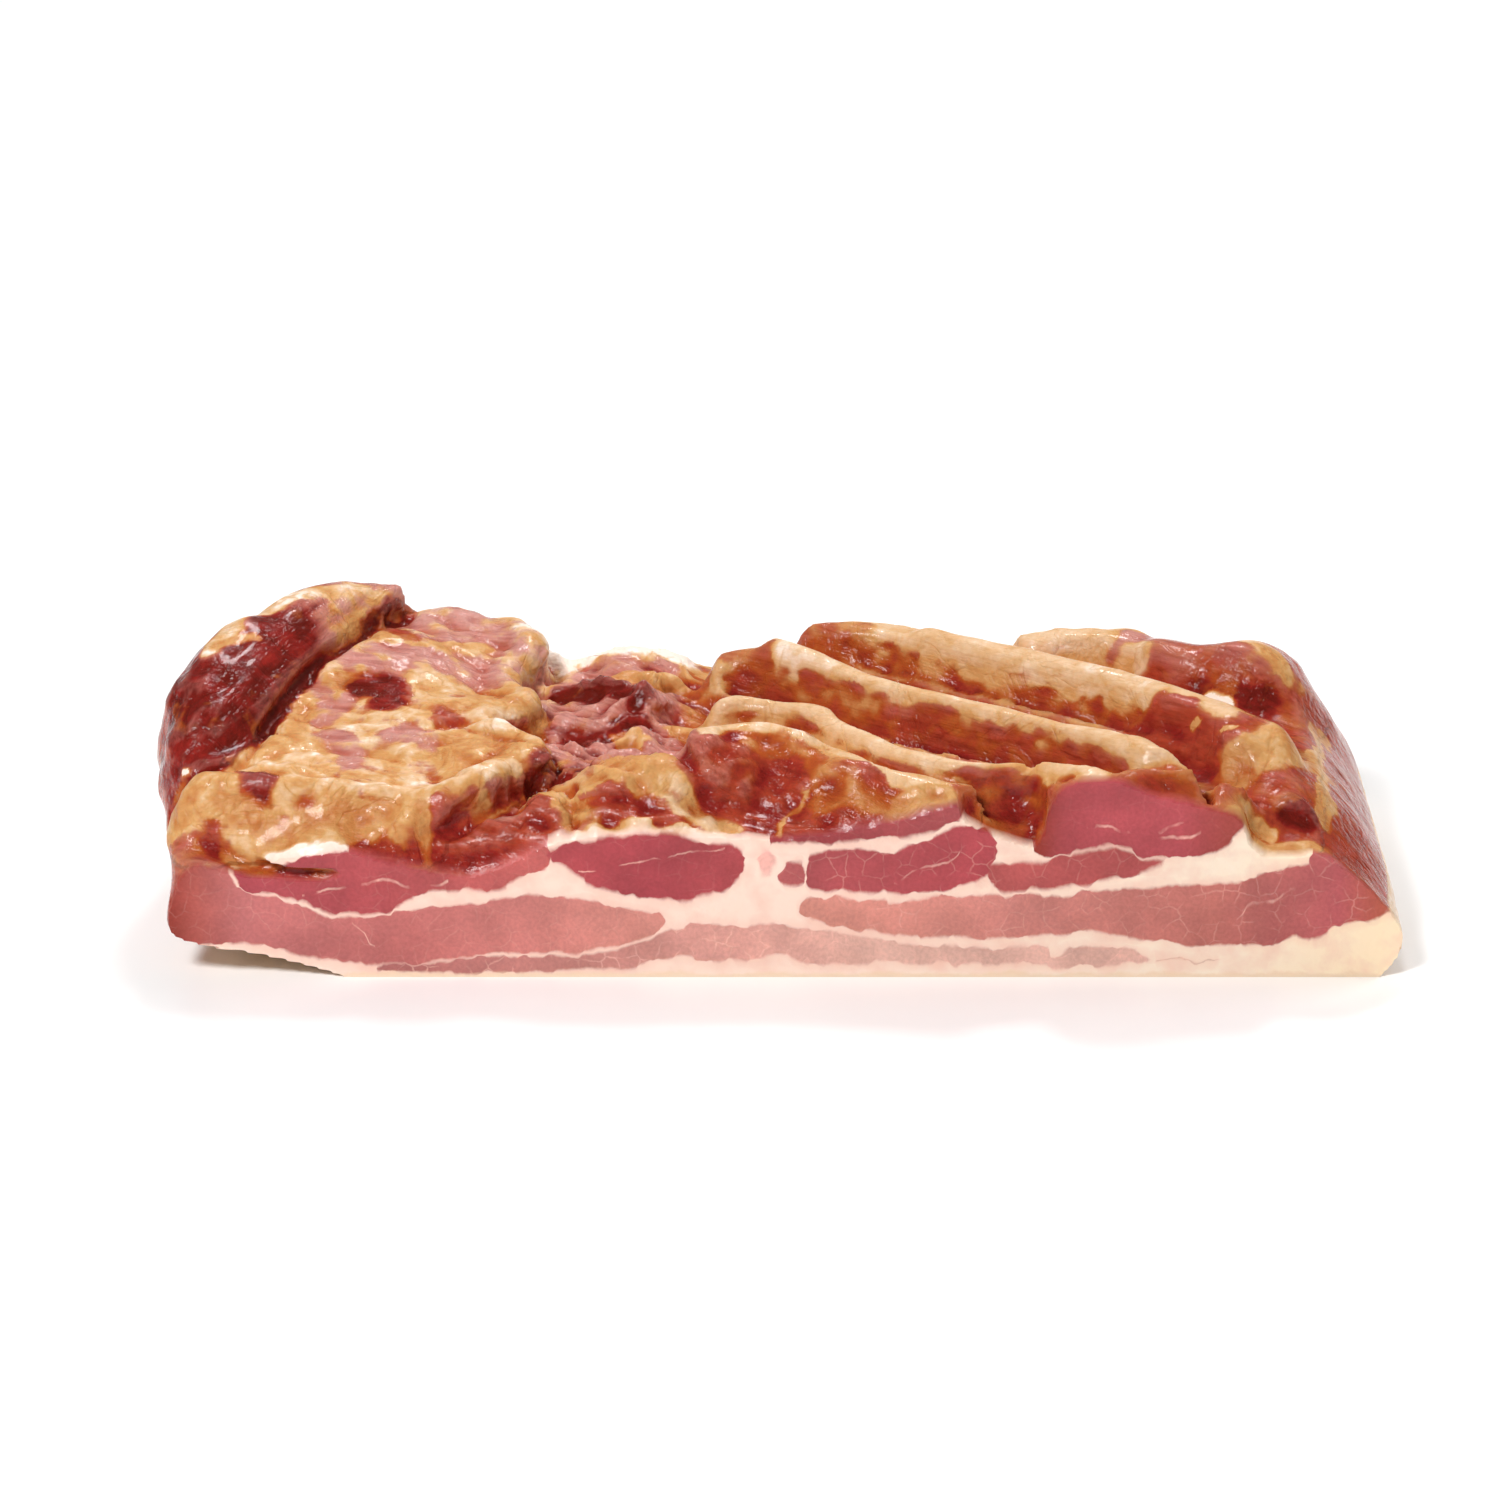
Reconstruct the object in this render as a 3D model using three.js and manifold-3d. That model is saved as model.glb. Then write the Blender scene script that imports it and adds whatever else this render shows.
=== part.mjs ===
// Smoked bacon: one slab of cured and smoked pork belly, lying on its rind with the bone side up.
// A knife cut made the flat front face. The ribs were drawn out of the right half, which left
// strips of meat standing between diagonal troughs. A thick sheet of fat covers the left half,
// and a loose roll of lean is folded over the left end.
//
// Millimetres. +X runs along the cut face to the right, +Y from the cut face to the back, +Z up.
// The origin is on the resting face, below the middle of the slab.
import * as THREE from "three";
import { mergeVertices } from "three/addons/utils/BufferGeometryUtils.js";
import Module from "manifold-3d";

// Driving dimensions. x is measured from the middle of the rind side, y from the middle of the depth.
const CUT_Y = -60; // plane of the knife cut
const BACK_Y = 60; // furthest point of the back
const LEFT_X = -152; // left end, before its bulge
const RIGHT_X = 152; // furthest point of the right end
const MIDDLE = { x: -2.9, y: -0.1 }; // middle of the finished outline, where the origin goes
const ROUGH_FRONT = 8; // spare length in front of the cut, which the knife takes off
const ROUGH_BASE = 5; // spare depth below the resting face, which is pressed flat
const BED = { top: 39, rise: 9, from: -58, to: -30 }; // floor of the rib troughs, and where it starts
const CURL = { lift: 9, back: 0.7, from: -152, to: -80 }; // left end, which curls up off the table
const GRID = { long: 92, deep: 40, high: 6 }; // facets of the slab

// Height of the cut face without the strips, from the left end to the right: [x, z]
const CUT_TOP = [
  [-152, 25],
  [-128, 28],
  [-100, 31],
  [-58, 34.5],
  [-40, 37.5],
  [-10, 36],
  [17, 36.5],
  [50, 37],
  [85, 38],
  [116, 34],
  [132, 30],
  [152, 22],
];

// How far the ends and the back stand in from their furthest point: [share of the height, mm]
const RIGHT_END = [
  [0, 12],
  [0.12, 6],
  [0.35, 0.5],
  [0.55, 0],
  [0.8, 7],
  [1, 19],
];
const LEFT_END = [
  [0, 13],
  [0.14, 4],
  [0.4, 0],
  [0.75, 1],
  [1, 7],
];
const BACK_SIDE = [
  [0, 6],
  [0.15, 1.5],
  [0.4, 0],
  [0.75, 3],
  [1, 9],
];
const LEFT_BULGE = { out: 6, from: 0.1, to: 0.6 }; // swell of the left end, and its share of the height
const CORNERS = { frontLeft: 9, backLeft: 26, backRight: 16 }; // radii in plan

// Strips of meat between the drawn ribs. crest is the plan line of the top from back left to
// front right, top its height at the two ends, crown half the width of the top, and front and
// back the run of each flank down to the bone bed.
const STRIPS = [
  // Front fold, which swells towards the cut
  {
    crest: [[-21, -34], [-9, -29], [4, -31], [20, -46], [33, -54], [43, -60]],
    top: [53, 49],
    crown: 3,
    front: 20,
    back: 7,
  },
  {
    crest: [[-14, -2], [-4, -7], [6, -10], [16, -19], [30, -37], [46, -46], [60, -51], [72, -56]],
    top: [51, 53],
    crown: 3,
    front: 8,
    back: 7,
  },
  // Muscle that the knife went through
  {
    crest: [[72, -63], [82, -62], [92, -62], [105, -62]],
    top: [52, 54],
    crown: 8,
    front: 9,
    back: 7,
  },
  {
    crest: [[-12, 26], [4, 13], [24, -4], [55, -24], [80, -42], [99, -56]],
    top: [54, 53],
    crown: 4.5,
    front: 9,
    back: 9,
  },
  {
    crest: [[10, 55], [26, 46], [57, 26], [88, 5], [106, -10], [118, -24]],
    top: [53, 52],
    crown: 5.5,
    front: 9,
    back: 10,
  },
  {
    crest: [[60, 50], [74, 50], [92, 44], [104, 34]],
    top: [51, 51],
    crown: 6,
    front: 9,
    back: 10,
  },
];
const FLANK_DROP = 30; // fall of a flank before it meets the bed
const FLANK_FOOT = 4; // extra run of a flank where it curves into the bed
const STRIP_BLEND = 2.5; // fillet between a strip and the bed
const LINE_STEPS = 6; // straight pieces between two points of a plan line

// Outline in plan of the fat sheet, whose right edge ends in two lobes
const SHEET_OUTLINE = [
  [-170, -57],
  [-135, -58],
  [-105, -58],
  [-86, -58],
  [-75, -50],
  [-66, -37],
  [-57, -27],
  [-58, -17],
  [-68, -9],
  [-60, -1],
  [-60, 10],
  [-68, 20],
  [-63, 34],
  [-62, 48],
  [-74, 70],
  [-170, 75],
];
const SHEET_EDGE = 4.2; // half the width of the sheet's rounded edge
const SHEET = { front: 47, back: 57, from: -46, to: 48 }; // height of the sheet, front to back
const BROW = { from: -45, run: 15, fall: 15 }; // rounded front of the sheet, which falls to the cut
const SHOULDER = { fall: 9, from: -97, to: -58 }; // fall of the sheet towards its right edge
const SWELLS = [
  { high: 0.9, long: 56, deep: 88 },
  { high: 0.7, long: -144, deep: 44 },
]; // gentle waves of the sheet: height and length of a wave along the slab and across it

// Rounded lumps that swell from the surface: centre, half sizes
const LUMPS = [
  { at: [-36, -42, 37], half: [25, 15, 13] }, // mound behind the cut, left of the strips
  { at: [-60, -48, 33], half: [9, 12, 8] }, // lean beside the mound
  { at: [-42, 14, 37], half: [16, 26, 8] }, // membrane in the valley
  { at: [-40, 42, 38], half: [20, 14, 8] }, // back of the valley
  { at: [120, 30, 40], half: [22, 19, 14] }, // lean lump at the back right
  { at: [112, -8, 36], half: [19, 15, 11] }, // end of the third strip
  { at: [122, -34, 33], half: [13, 22, 12] }, // fat along the right end
  { at: [117, -55, 30], half: [9, 10, 14] }, // fat knob beside the cut
];
const LUMP_BLEND = 3; // fillet at the foot of a lump
const LUMP_SHAPE = { peak: 3, fall: 0.405, root: 2 }; // profile of a lump, from its middle outwards

// Rolls that lie on the slab: axis from end to end, half width and half height along it
const ROLLS = [
  // Lean roll folded over the left end, with a free tip at the back
  {
    axis: [
      [-148, -44, 37],
      [-145, -26, 44],
      [-137, -2, 49],
      [-128, 22, 53],
      [-116, 41, 57],
      [-94, 50, 61],
    ],
    wide: [[0, 3], [0.14, 9], [0.4, 13], [0.65, 12], [0.85, 8], [0.95, 4.5], [1, 2.4]],
    high: [[0, 3], [0.14, 8], [0.4, 11.5], [0.65, 10.5], [0.85, 6.5], [0.95, 3.4], [1, 2.2]],
  },
  // Hooked end of the second strip
  {
    axis: [
      [-17, 33, 50],
      [-8, 25, 51],
      [4, 14, 50],
      [14, 5, 48],
    ],
    wide: [[0, 2], [0.2, 5], [0.7, 6.5], [1, 3]],
    high: [[0, 2], [0.2, 4], [0.7, 6], [1, 3]],
  },
];
const ROLL_FACETS = { round: 12, along: 20 };
const ROLL_END = 1.6; // how blunt the ends of a roll are

// Gaps between folds, shaped like rolls that are taken out
const GAPS = [
  // Crevice under the lip of the fat sheet, open to the left end
  {
    axis: [
      [-160, -58, 38],
      [-147, -61, 34],
      [-136, -62, 30],
      [-124, -61, 28],
      [-110, -60, 27.6],
      [-95, -61, 28.4],
    ],
    wide: [[0, 5], [0.4, 8], [0.8, 5], [1, 1.5]],
    high: [[0, 3.5], [0.4, 2.6], [0.8, 1.4], [1, 0.8]],
  },
  // Mouth of the trough between the front fold and the muscle to its right
  {
    axis: [
      [57, -72, 50],
      [56, -61, 50],
      [51, -51, 50],
    ],
    wide: [[0, 8.5], [0.6, 7.5], [1, 3]],
    high: [[0, 12.5], [0.6, 12], [1, 8]],
  },
];

// Blocks that stand for the knife's side and the table: length, depth, height
const KNIFE_BLOCK = [400, 40, 200];
const TABLE_BLOCK = [400, 200, 40];
const WELD = 1e-4; // corners of the facets closer than this are one corner

const mix = (a, b, t) => a + (b - a) * t;
const ease = (low, high, value) => THREE.MathUtils.smoothstep(value, low, high);
const smoothMax = (a, b, blend) => (a + b + Math.hypot(a - b, blend)) / 2;

// Value at a place on the straight line between stations [place, value]
function along(stations, place) {
  const after = stations.findIndex(([at]) => at > place);
  if (after < 0) {
    return stations[stations.length - 1][1];
  }
  if (after === 0) {
    return stations[0][1];
  }
  const [from, a] = stations[after - 1];
  const [to, b] = stations[after];
  return mix(a, b, (place - from) / (to - from));
}

// Smooth line through points in plan
function planCurve(points, closed) {
  const spots = points.map(([x, y]) => new THREE.Vector3(x, y, 0));
  return new THREE.CatmullRomCurve3(spots, closed, "centripetal").getPoints(points.length * LINE_STEPS);
}

// Nearest place on a plan line: its distance, its share of the length, and the side it is seen from
function nearest(line, x, y) {
  const best = { distance: Infinity, share: 0, side: 1 };
  for (let i = 0; i + 1 < line.length; i++) {
    const a = line[i];
    const [dx, dy] = [line[i + 1].x - a.x, line[i + 1].y - a.y];
    const t = THREE.MathUtils.clamp(((x - a.x) * dx + (y - a.y) * dy) / (dx * dx + dy * dy), 0, 1);
    const [ox, oy] = [x - a.x - t * dx, y - a.y - t * dy];
    const distance = Math.hypot(ox, oy);
    if (distance < best.distance) {
      best.distance = distance;
      best.share = (i + t) / (line.length - 1);
      best.side = Math.sign(dx * oy - dy * ox) || 1;
    }
  }
  return best;
}

const stripLines = STRIPS.map((strip) => ({ ...strip, line: planCurve(strip.crest, false) }));
const sheetLine = planCurve(SHEET_OUTLINE, true);

// Height of one strip over a place in plan: a crown with a flank on each side
function stripHeight({ line, top, crown, front, back }, x, y) {
  const { distance, share, side } = nearest(line, x, y);
  const run = side > 0 ? back : front;
  return mix(top[0], top[1], share) - FLANK_DROP * ease(crown, crown + run + FLANK_FOOT, distance);
}

function lumpHeight({ at, half }, x, y) {
  const reach = ((x - at[0]) / half[0]) ** 2 + ((y - at[1]) / half[1]) ** 2;
  return at[2] + half[2] * (LUMP_SHAPE.peak * Math.exp(-LUMP_SHAPE.fall * reach) - LUMP_SHAPE.root);
}

// Height of the fat sheet, which rises to the back, falls to its right edge and to the cut, and rolls gently
function sheetHeight(x, y) {
  const back = SHEET.back - SHOULDER.fall * ease(SHOULDER.from, SHOULDER.to, x);
  const brow = THREE.MathUtils.clamp((BROW.from - y) / BROW.run, 0, 1);
  let z = mix(SHEET.front, back, ease(SHEET.from, SHEET.to, y)) - BROW.fall * brow ** 2;
  for (const { high, long, deep } of SWELLS) {
    z += high * Math.sin(2 * Math.PI * (x / long + y / deep));
  }
  return z;
}

function topHeight(x, y) {
  const cut = along(CUT_TOP, x);
  let z = mix(cut, Math.min(BED.top, cut + BED.rise), ease(BED.from, BED.to, y));
  for (const lump of LUMPS) {
    z = smoothMax(z, lumpHeight(lump, x, y), LUMP_BLEND);
  }
  for (const strip of stripLines) {
    z = smoothMax(z, stripHeight(strip, x, y), STRIP_BLEND);
  }
  const { distance, side } = nearest(sheetLine, x, y);
  const inside = ease(-SHEET_EDGE, SHEET_EDGE, distance * side);
  return mix(z, Math.max(z, sheetHeight(x, y)), inside);
}

// How far a corner of the plan is cut back, at a distance from the end
const cornerInset = (radius, fromEnd) =>
  fromEnd >= radius ? 0 : radius - Math.sqrt(radius ** 2 - (radius - Math.max(fromEnd, 0)) ** 2);

// Point of the slab's skin for shares of its length, depth and height
function slabPoint(u, v, w) {
  const length = RIGHT_X - LEFT_X;
  const [fromLeft, fromRight] = [u * length, (1 - u) * length];
  const front = CUT_Y - ROUGH_FRONT + cornerInset(CORNERS.frontLeft, fromLeft);
  const corner = cornerInset(CORNERS.backLeft, fromLeft) + cornerInset(CORNERS.backRight, fromRight);
  const y = mix(front, BACK_Y - corner - along(BACK_SIDE, w), v);
  const bulge = LEFT_BULGE.out * Math.sin(Math.PI * v) * ease(LEFT_BULGE.from, LEFT_BULGE.to, w);
  const x = mix(LEFT_X + along(LEFT_END, w) - bulge, RIGHT_X - along(RIGHT_END, w), u);
  const curl = (1 - ease(CURL.from, CURL.to, x)) * mix(1, CURL.back, v);
  const base = mix(-ROUGH_BASE, CURL.lift, curl);
  return new THREE.Vector3(x, y, mix(base, topHeight(x, y), w));
}

// The slab: a box with many facets, each corner of which is moved to its place on the skin. The box
// is turned so that the diagonals of its facets run along the strips.
function slabGeometry() {
  const box = new THREE.BoxGeometry(1, 1, 1, GRID.deep, GRID.long, GRID.high);
  const spots = box.getAttribute("position");
  for (let i = 0; i < spots.count; i++) {
    const p = slabPoint(spots.getY(i) + 0.5, 0.5 - spots.getX(i), spots.getZ(i) + 0.5);
    spots.setXYZ(i, p.x, p.y, p.z);
  }
  return box;
}

// A roll: a ball drawn out along an axis, with its own width and height at every place
function rollGeometry({ axis, wide, high }) {
  const curve = new THREE.CatmullRomCurve3(axis.map((p) => new THREE.Vector3(...p)), false, "centripetal");
  const ball = new THREE.SphereGeometry(1, ROLL_FACETS.round, ROLL_FACETS.along);
  const spots = ball.getAttribute("position");
  const up = new THREE.Vector3(0, 0, 1);
  for (let i = 0; i < spots.count; i++) {
    const share = Math.acos(THREE.MathUtils.clamp(spots.getY(i), -1, 1)) / Math.PI;
    const ring = Math.hypot(spots.getX(i), spots.getZ(i));
    const [sideways, upwards] = ring > WELD ? [spots.getX(i) / ring, spots.getZ(i) / ring] : [0, 0];
    const tangent = curve.getTangent(share);
    const side = new THREE.Vector3().crossVectors(tangent, up).normalize();
    const rise = new THREE.Vector3().crossVectors(side, tangent);
    const blunt = Math.min(1, ring * ROLL_END);
    const p = curve.getPoint(share);
    p.addScaledVector(side, sideways * along(wide, share) * blunt);
    p.addScaledVector(rise, -upwards * along(high, share) * blunt);
    spots.setXYZ(i, p.x, p.y, p.z);
  }
  return ball;
}

// Room in front of the knife's cut, and below the flat that the slab rests on
const knifeGeometry = () => new THREE.BoxGeometry(...KNIFE_BLOCK).translate(0, CUT_Y - KNIFE_BLOCK[1] / 2, 0);
const tableGeometry = () => new THREE.BoxGeometry(...TABLE_BLOCK).translate(0, 0, -TABLE_BLOCK[2] / 2);

const wasm = await Module();
wasm.setup();

function toSolid(geometry) {
  geometry.deleteAttribute("normal");
  geometry.deleteAttribute("uv");
  const { attributes, index } = mergeVertices(geometry, WELD);
  const corners = attributes.position.array;
  const facets = new Uint32Array(index.array);
  return new wasm.Manifold(new wasm.Mesh({ numProp: 3, vertProperties: corners, triVerts: facets }));
}

function toGeometry(solid) {
  const { vertProperties, triVerts } = solid.getMesh();
  const geometry = new THREE.BufferGeometry();
  geometry.setAttribute("position", new THREE.BufferAttribute(vertProperties, 3));
  geometry.setIndex(new THREE.BufferAttribute(triVerts, 1));
  geometry.computeVertexNormals();
  return geometry;
}

// The whole piece of meat: slab and rolls in one, less the gaps, the knife's side and the table
function baconSlab() {
  let solid = toSolid(slabGeometry());
  for (const roll of ROLLS) {
    solid = solid.add(toSolid(rollGeometry(roll)));
  }
  for (const gap of GAPS) {
    solid = solid.subtract(toSolid(rollGeometry(gap)));
  }
  solid = solid.subtract(toSolid(knifeGeometry())).subtract(toSolid(tableGeometry()));
  const smokedMeat = new THREE.MeshStandardMaterial({ color: 0xa8503c, roughness: 0.4, metalness: 0 });
  const mesh = new THREE.Mesh(toGeometry(solid).translate(-MIDDLE.x, -MIDDLE.y, 0), smokedMeat);
  mesh.name = "bacon_slab";
  return mesh;
}

const bacon = new THREE.Group();
bacon.name = "smoked_bacon";
bacon.add(baconSlab());

export default bacon;
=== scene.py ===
import math

import bpy
import numpy as np
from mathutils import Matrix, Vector, noise


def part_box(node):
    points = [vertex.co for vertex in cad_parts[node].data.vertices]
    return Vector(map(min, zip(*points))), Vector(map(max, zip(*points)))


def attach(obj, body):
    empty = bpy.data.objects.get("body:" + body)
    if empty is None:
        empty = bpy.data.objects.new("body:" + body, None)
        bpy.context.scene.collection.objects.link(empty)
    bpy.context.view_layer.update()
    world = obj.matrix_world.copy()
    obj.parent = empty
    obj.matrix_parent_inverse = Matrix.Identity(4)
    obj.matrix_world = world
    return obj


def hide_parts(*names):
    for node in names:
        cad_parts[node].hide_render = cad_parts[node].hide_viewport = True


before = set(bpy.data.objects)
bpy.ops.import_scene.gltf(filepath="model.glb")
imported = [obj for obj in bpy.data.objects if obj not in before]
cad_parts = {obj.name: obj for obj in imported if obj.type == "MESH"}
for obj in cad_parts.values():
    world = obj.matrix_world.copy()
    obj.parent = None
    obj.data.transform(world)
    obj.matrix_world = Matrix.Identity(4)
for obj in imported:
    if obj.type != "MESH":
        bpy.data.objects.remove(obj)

bl_info = {
    "name": "Smoked bacon",
    "version": (1, 0, 0),
    "blender": (4, 5, 0),
    "location": "3D View > Sidebar > Bacon",
    "description": "Finishes a slab of smoked pork belly: folds, strips, marbled cut and smoked outside",
    "category": "Object",
}

# Places and sizes are in millimetres: x along the cut to the right, y to the back, z up.
MM = 1000  # millimetres in a metre
MIDDLE = np.array([2, 0, 0])  # place of the frame's origin
NODE = "bacon_slab"
PIECE = "smoked_bacon"
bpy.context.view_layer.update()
CUT_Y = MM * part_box(NODE)[0][1]

# Strips of meat left standing between the drawn ribs: crest line (x, y, z) and half its width
RIB_STRIPS = ("first", "second", "third", "fourth")
STRIPS = {
    "front fold": ([(-18, -34, 52), (-6, -28, 53.5), (5, -29, 53), (16, -37, 52.5), (25, -47, 51.5), (36, -55, 50),
                    (46, -60, 49)], 3.5),
    "first": ([(-24, -2, 50), (-8, -1, 51), (4, -5, 52), (18, -18, 52), (32, -36, 52.5), (48, -48, 53),
               (62, -51, 53.5), (75, -55, 54), (85, -58, 54), (102, -60, 53)], 2.6),
    "second": ([(-12, 27, 52), (-2, 26, 54.5), (8, 22, 55.5), (23, 11, 55.5), (38, -1, 55.5), (53, -10, 55.5),
                (73, -23, 55), (90, -40, 54), (99, -55, 53)], 4),
    "third": ([(-6, 46, 48), (9, 50, 52), (27, 47, 54), (42, 39, 54), (60, 28, 54), (73, 20, 54), (92, 7, 53.5),
               (108, -7, 52.5), (119, -20, 51)], 4.6),
    "fourth": ([(71, 50, 50), (80, 50, 51.5), (92, 47, 51.5), (103, 39, 51), (111, 30, 51)], 5),
}
CROWN_FALL = 1.2  # fall of a strip's rounded top from its middle to its edge
WALL_SLOPE = 3.5  # fall of a strip's wall for each millimetre sideways
TROUGH = 39.5  # floor of the troughs
FIRST_FACET = 1.3  # facets that the folds are worked on
FIRST_ROUNDS = 10  # rounds of smoothing before the folds
LAST_ROUNDS = 2  # and after them

# Plan lines of the large forms, from the cut to the back
SHEET_EDGE = [(-84, -59), (-72, -51), (-62, -41), (-55, -29), (-58, -20), (-67, -12), (-60, -4), (-58, 6), (-64, 16),
              (-60, 28), (-58, 38), (-64, 52)]
ROLL_CREASE = [(-152, -40), (-140, -39), (-132, -34), (-127, -18), (-122, -4), (-116, 13), (-109, 25), (-101, 40),
               (-94, 50)]
RIGHT_EDGE = [(134, -60), (138, -46), (139, -20), (141, 0), (145, 29), (143, 50)]
MOUND = [(-58, -47), (-45, -47), (-31, -48), (-18, -49)]

# Folds raised from the surface, or pressed into it: plan line, sideways shift, half width, height
FOLDS = [
    # Crease under the roll of lean
    (ROLL_CREASE, -1, 2.2, -3.5),
    # Thick body of the roll
    ([(-146, -24), (-139, 0), (-130, 22), (-118, 41), (-102, 50)], 0, 15, 3.5),
    ([(-148, -10), (-144, 4), (-138, 14)], 0, 12, 4),
    # Thick rim of the fat sheet, and the gap under it
    (SHEET_EDGE, 4.5, 6, 3),
    (SHEET_EDGE, -2.5, 3.2, -3.4),
    # Gap between the two lobes of the sheet, and the lobes
    ([(-57, -12), (-66, -12), (-76, -14), (-84, -18)], 0, 3, -2.4),
    ([(-76, -3), (-68, 1), (-63, 2)], 0, 8, 1.6),
    ([(-76, -30), (-66, -30), (-59, -30)], 0, 9, 1.6),
    # Upper edge of the fat band above the cut
    ([(-138, -45), (-125, -47), (-110, -48), (-97, -49), (-86, -53)], 0, 5, 1.6),
    ([(-134, -40), (-122, -32), (-110, -28), (-97, -30), (-86, -38), (-77, -47)], 0, 3, -1.3),
    # Hollow under the roll's pointed end
    ([(-98, 40), (-94, 50)], -1, 4, -3),
    # Rounded back of the sheet
    ([(-95, 52), (-80, 48), (-67, 40), (-60, 30)], 0, 8, 2),
    # Lumps of lean under the fat band
    ([(-97, -57), (-89, -58)], 0, 5, 1.8),
    ([(-79, -56), (-71, -53), (-64, -55)], 0, 7, 2.2),
    # Membrane folds of the valley
    ([(-56, 28), (-47, 24), (-38, 18), (-31, 9)], 0, 3.4, 3),
    ([(-52, 3), (-43, -1), (-37, 8), (-29, 13)], 0, 3, 3.2),
    ([(-50, -14), (-40, -12), (-33, -6), (-30, -13)], 0, 3, 3),
    ([(-50, -24), (-44, -26), (-38, -19), (-30, -20)], 0, 2.8, 2.6),
    ([(-57, -34), (-50, -32), (-42, -36)], 0, 2.8, 2),
    ([(-38, 25), (-32, 28), (-25, 31)], 0, 4, 3),
    # Crest and belly of the front fold
    ([(-17, -35), (-11, -29), (0, -28), (8, -33)], 0, 6, 2.4),
    ([(-16, -46), (-4, -44), (8, -49), (18, -54)], 0, 13, 3.5),
    # Lobes of the mound, and the gap between them
    ([(-58, -50), (-54, -55)], 0, 6, 2),
    ([(-50, -42), (-48, -56)], 0, 2.6, -2),
    ([(-40, -52), (-32, -54), (-25, -54)], 0, 8, 2.4),
    # Groove in front of the fold, where it meets the mound
    ([(-22, -36), (-20, -45), (-14, -53), (-8, -59)], 0, 3.5, -2.2),
    # Left end of the first strip
    ([(-24, -2), (-16, -1), (-6, -1), (4, -5), (14, -12)], 0, 4.5, 0.8),
    # Swollen crests of the second and third strips
    ([(2, 25), (23, 11), (38, -1), (53, -10), (73, -23), (88, -38), (96, -50)], 0, 6, 3.2),
    ([(42, 39), (60, 28), (73, 20), (92, 7), (108, -7), (117, -18)], 0, 6, 2),
    # Lump of lean behind the third strip, and globs of fat by the right corner
    ([(102, 36), (112, 29), (124, 25), (132, 22)], 0, 8, 2),
    ([(119, -53), (123, -53)], 0, 4.5, 2.6),
    ([(128, -46), (132, -48)], 0, 5, 2.4),
    ([(101, -9), (108, -18), (115, -28)], 0, 6, 1.6),
]

# Upper edge of the knife's cut (x, z): the meat above it leans back
CUT_EDGE = [(-158, 30), (-146, 30), (-134, 29), (-124, 30.5), (-113, 35), (-106, 36), (-101, 32.5), (-94, 30),
            (-87, 28.5), (-80, 27), (-74, 26.5), (-67, 28.5), (-61, 31.5), (-57, 34), (-52, 36), (-46, 37.5),
            (-33, 38.5), (-19, 37.5), (5, 37), (11, 38.5), (23, 40), (32, 42), (41, 44.5), (46, 46.5), (48, 41.5),
            (53, 38.5), (59, 36.5), (65, 34.5), (67, 39), (68, 44.5), (71, 50), (75, 52), (83, 52.5), (88, 51),
            (93, 48.5), (99, 47), (107, 45), (113, 43.5), (116, 41.5), (118, 35), (122, 32), (131, 32), (135, 36),
            (158, 60)]
LEAN_BACK = 6  # how far the meat above the cut's edge leans back at most
LEFT_FOOT = 6  # how far the left end swells out below
LEFT_SAG = 2.6  # and how far it sags
CORNER_SLOPE = 0.5  # rise of the right front corner to the back

# Looks of the outside: how fatty (-1 lean, 1 fat), how deeply smoked, how much silver film
LOOKS = {
    "smoked lean": (-0.9, 0.45, 0.2),
    "dark lean": (-1.6, 0.9, 0),
    "red lean": (-1.1, 0.55, 0.1),
    "wet lean": (-1.7, 0.5, 0),
    "fibrous lean": (-1.2, 0.42, 0.05),
    "mahogany": (-1.1, 0.9, 0),
    "brown-red": (-0.55, 0.5, 0),
    "mauve film": (-0.9, 0.5, 0.75),
    "thin film": (-0.4, 0.25, 1),
    # Pale filmed look that stands for a painted sheen on wet membrane
    "painted sheen": (0.6, -0.15, 0.9),
    "veiled fat": (0.2, 0.3, 1),
    "amber": (-0.3, 0.5, 0),
    "amber fat": (0.75, 0.42, 0.1),
    "tan fat": (0.8, 0.38, 0),
    "pale fat": (0.75, 0.21, 0.5),
    "yellow fat": (1, 0.42, 0),
    "golden fat": (0.95, 0.27, 0.1),
    "cream fat": (1.1, 0.13, 0),
    "white fat": (1.6, -0.2, 0),
}
# Looks of a strip by depth below its crest: depth, how fatty, how deeply smoked. The last row's steep rise in smoke
# darkens the trough floors: painted shade.
STRIP_LOOKS = np.array([(0, 0.95, 0.23), (2, 0.95, 0.29), (5, 0.8, 0.31), (8, 0.4, 0.35), (10, -0.1, 0.38),
                        (13, -0.6, 0.44), (16, -1, 0.8)])

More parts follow.
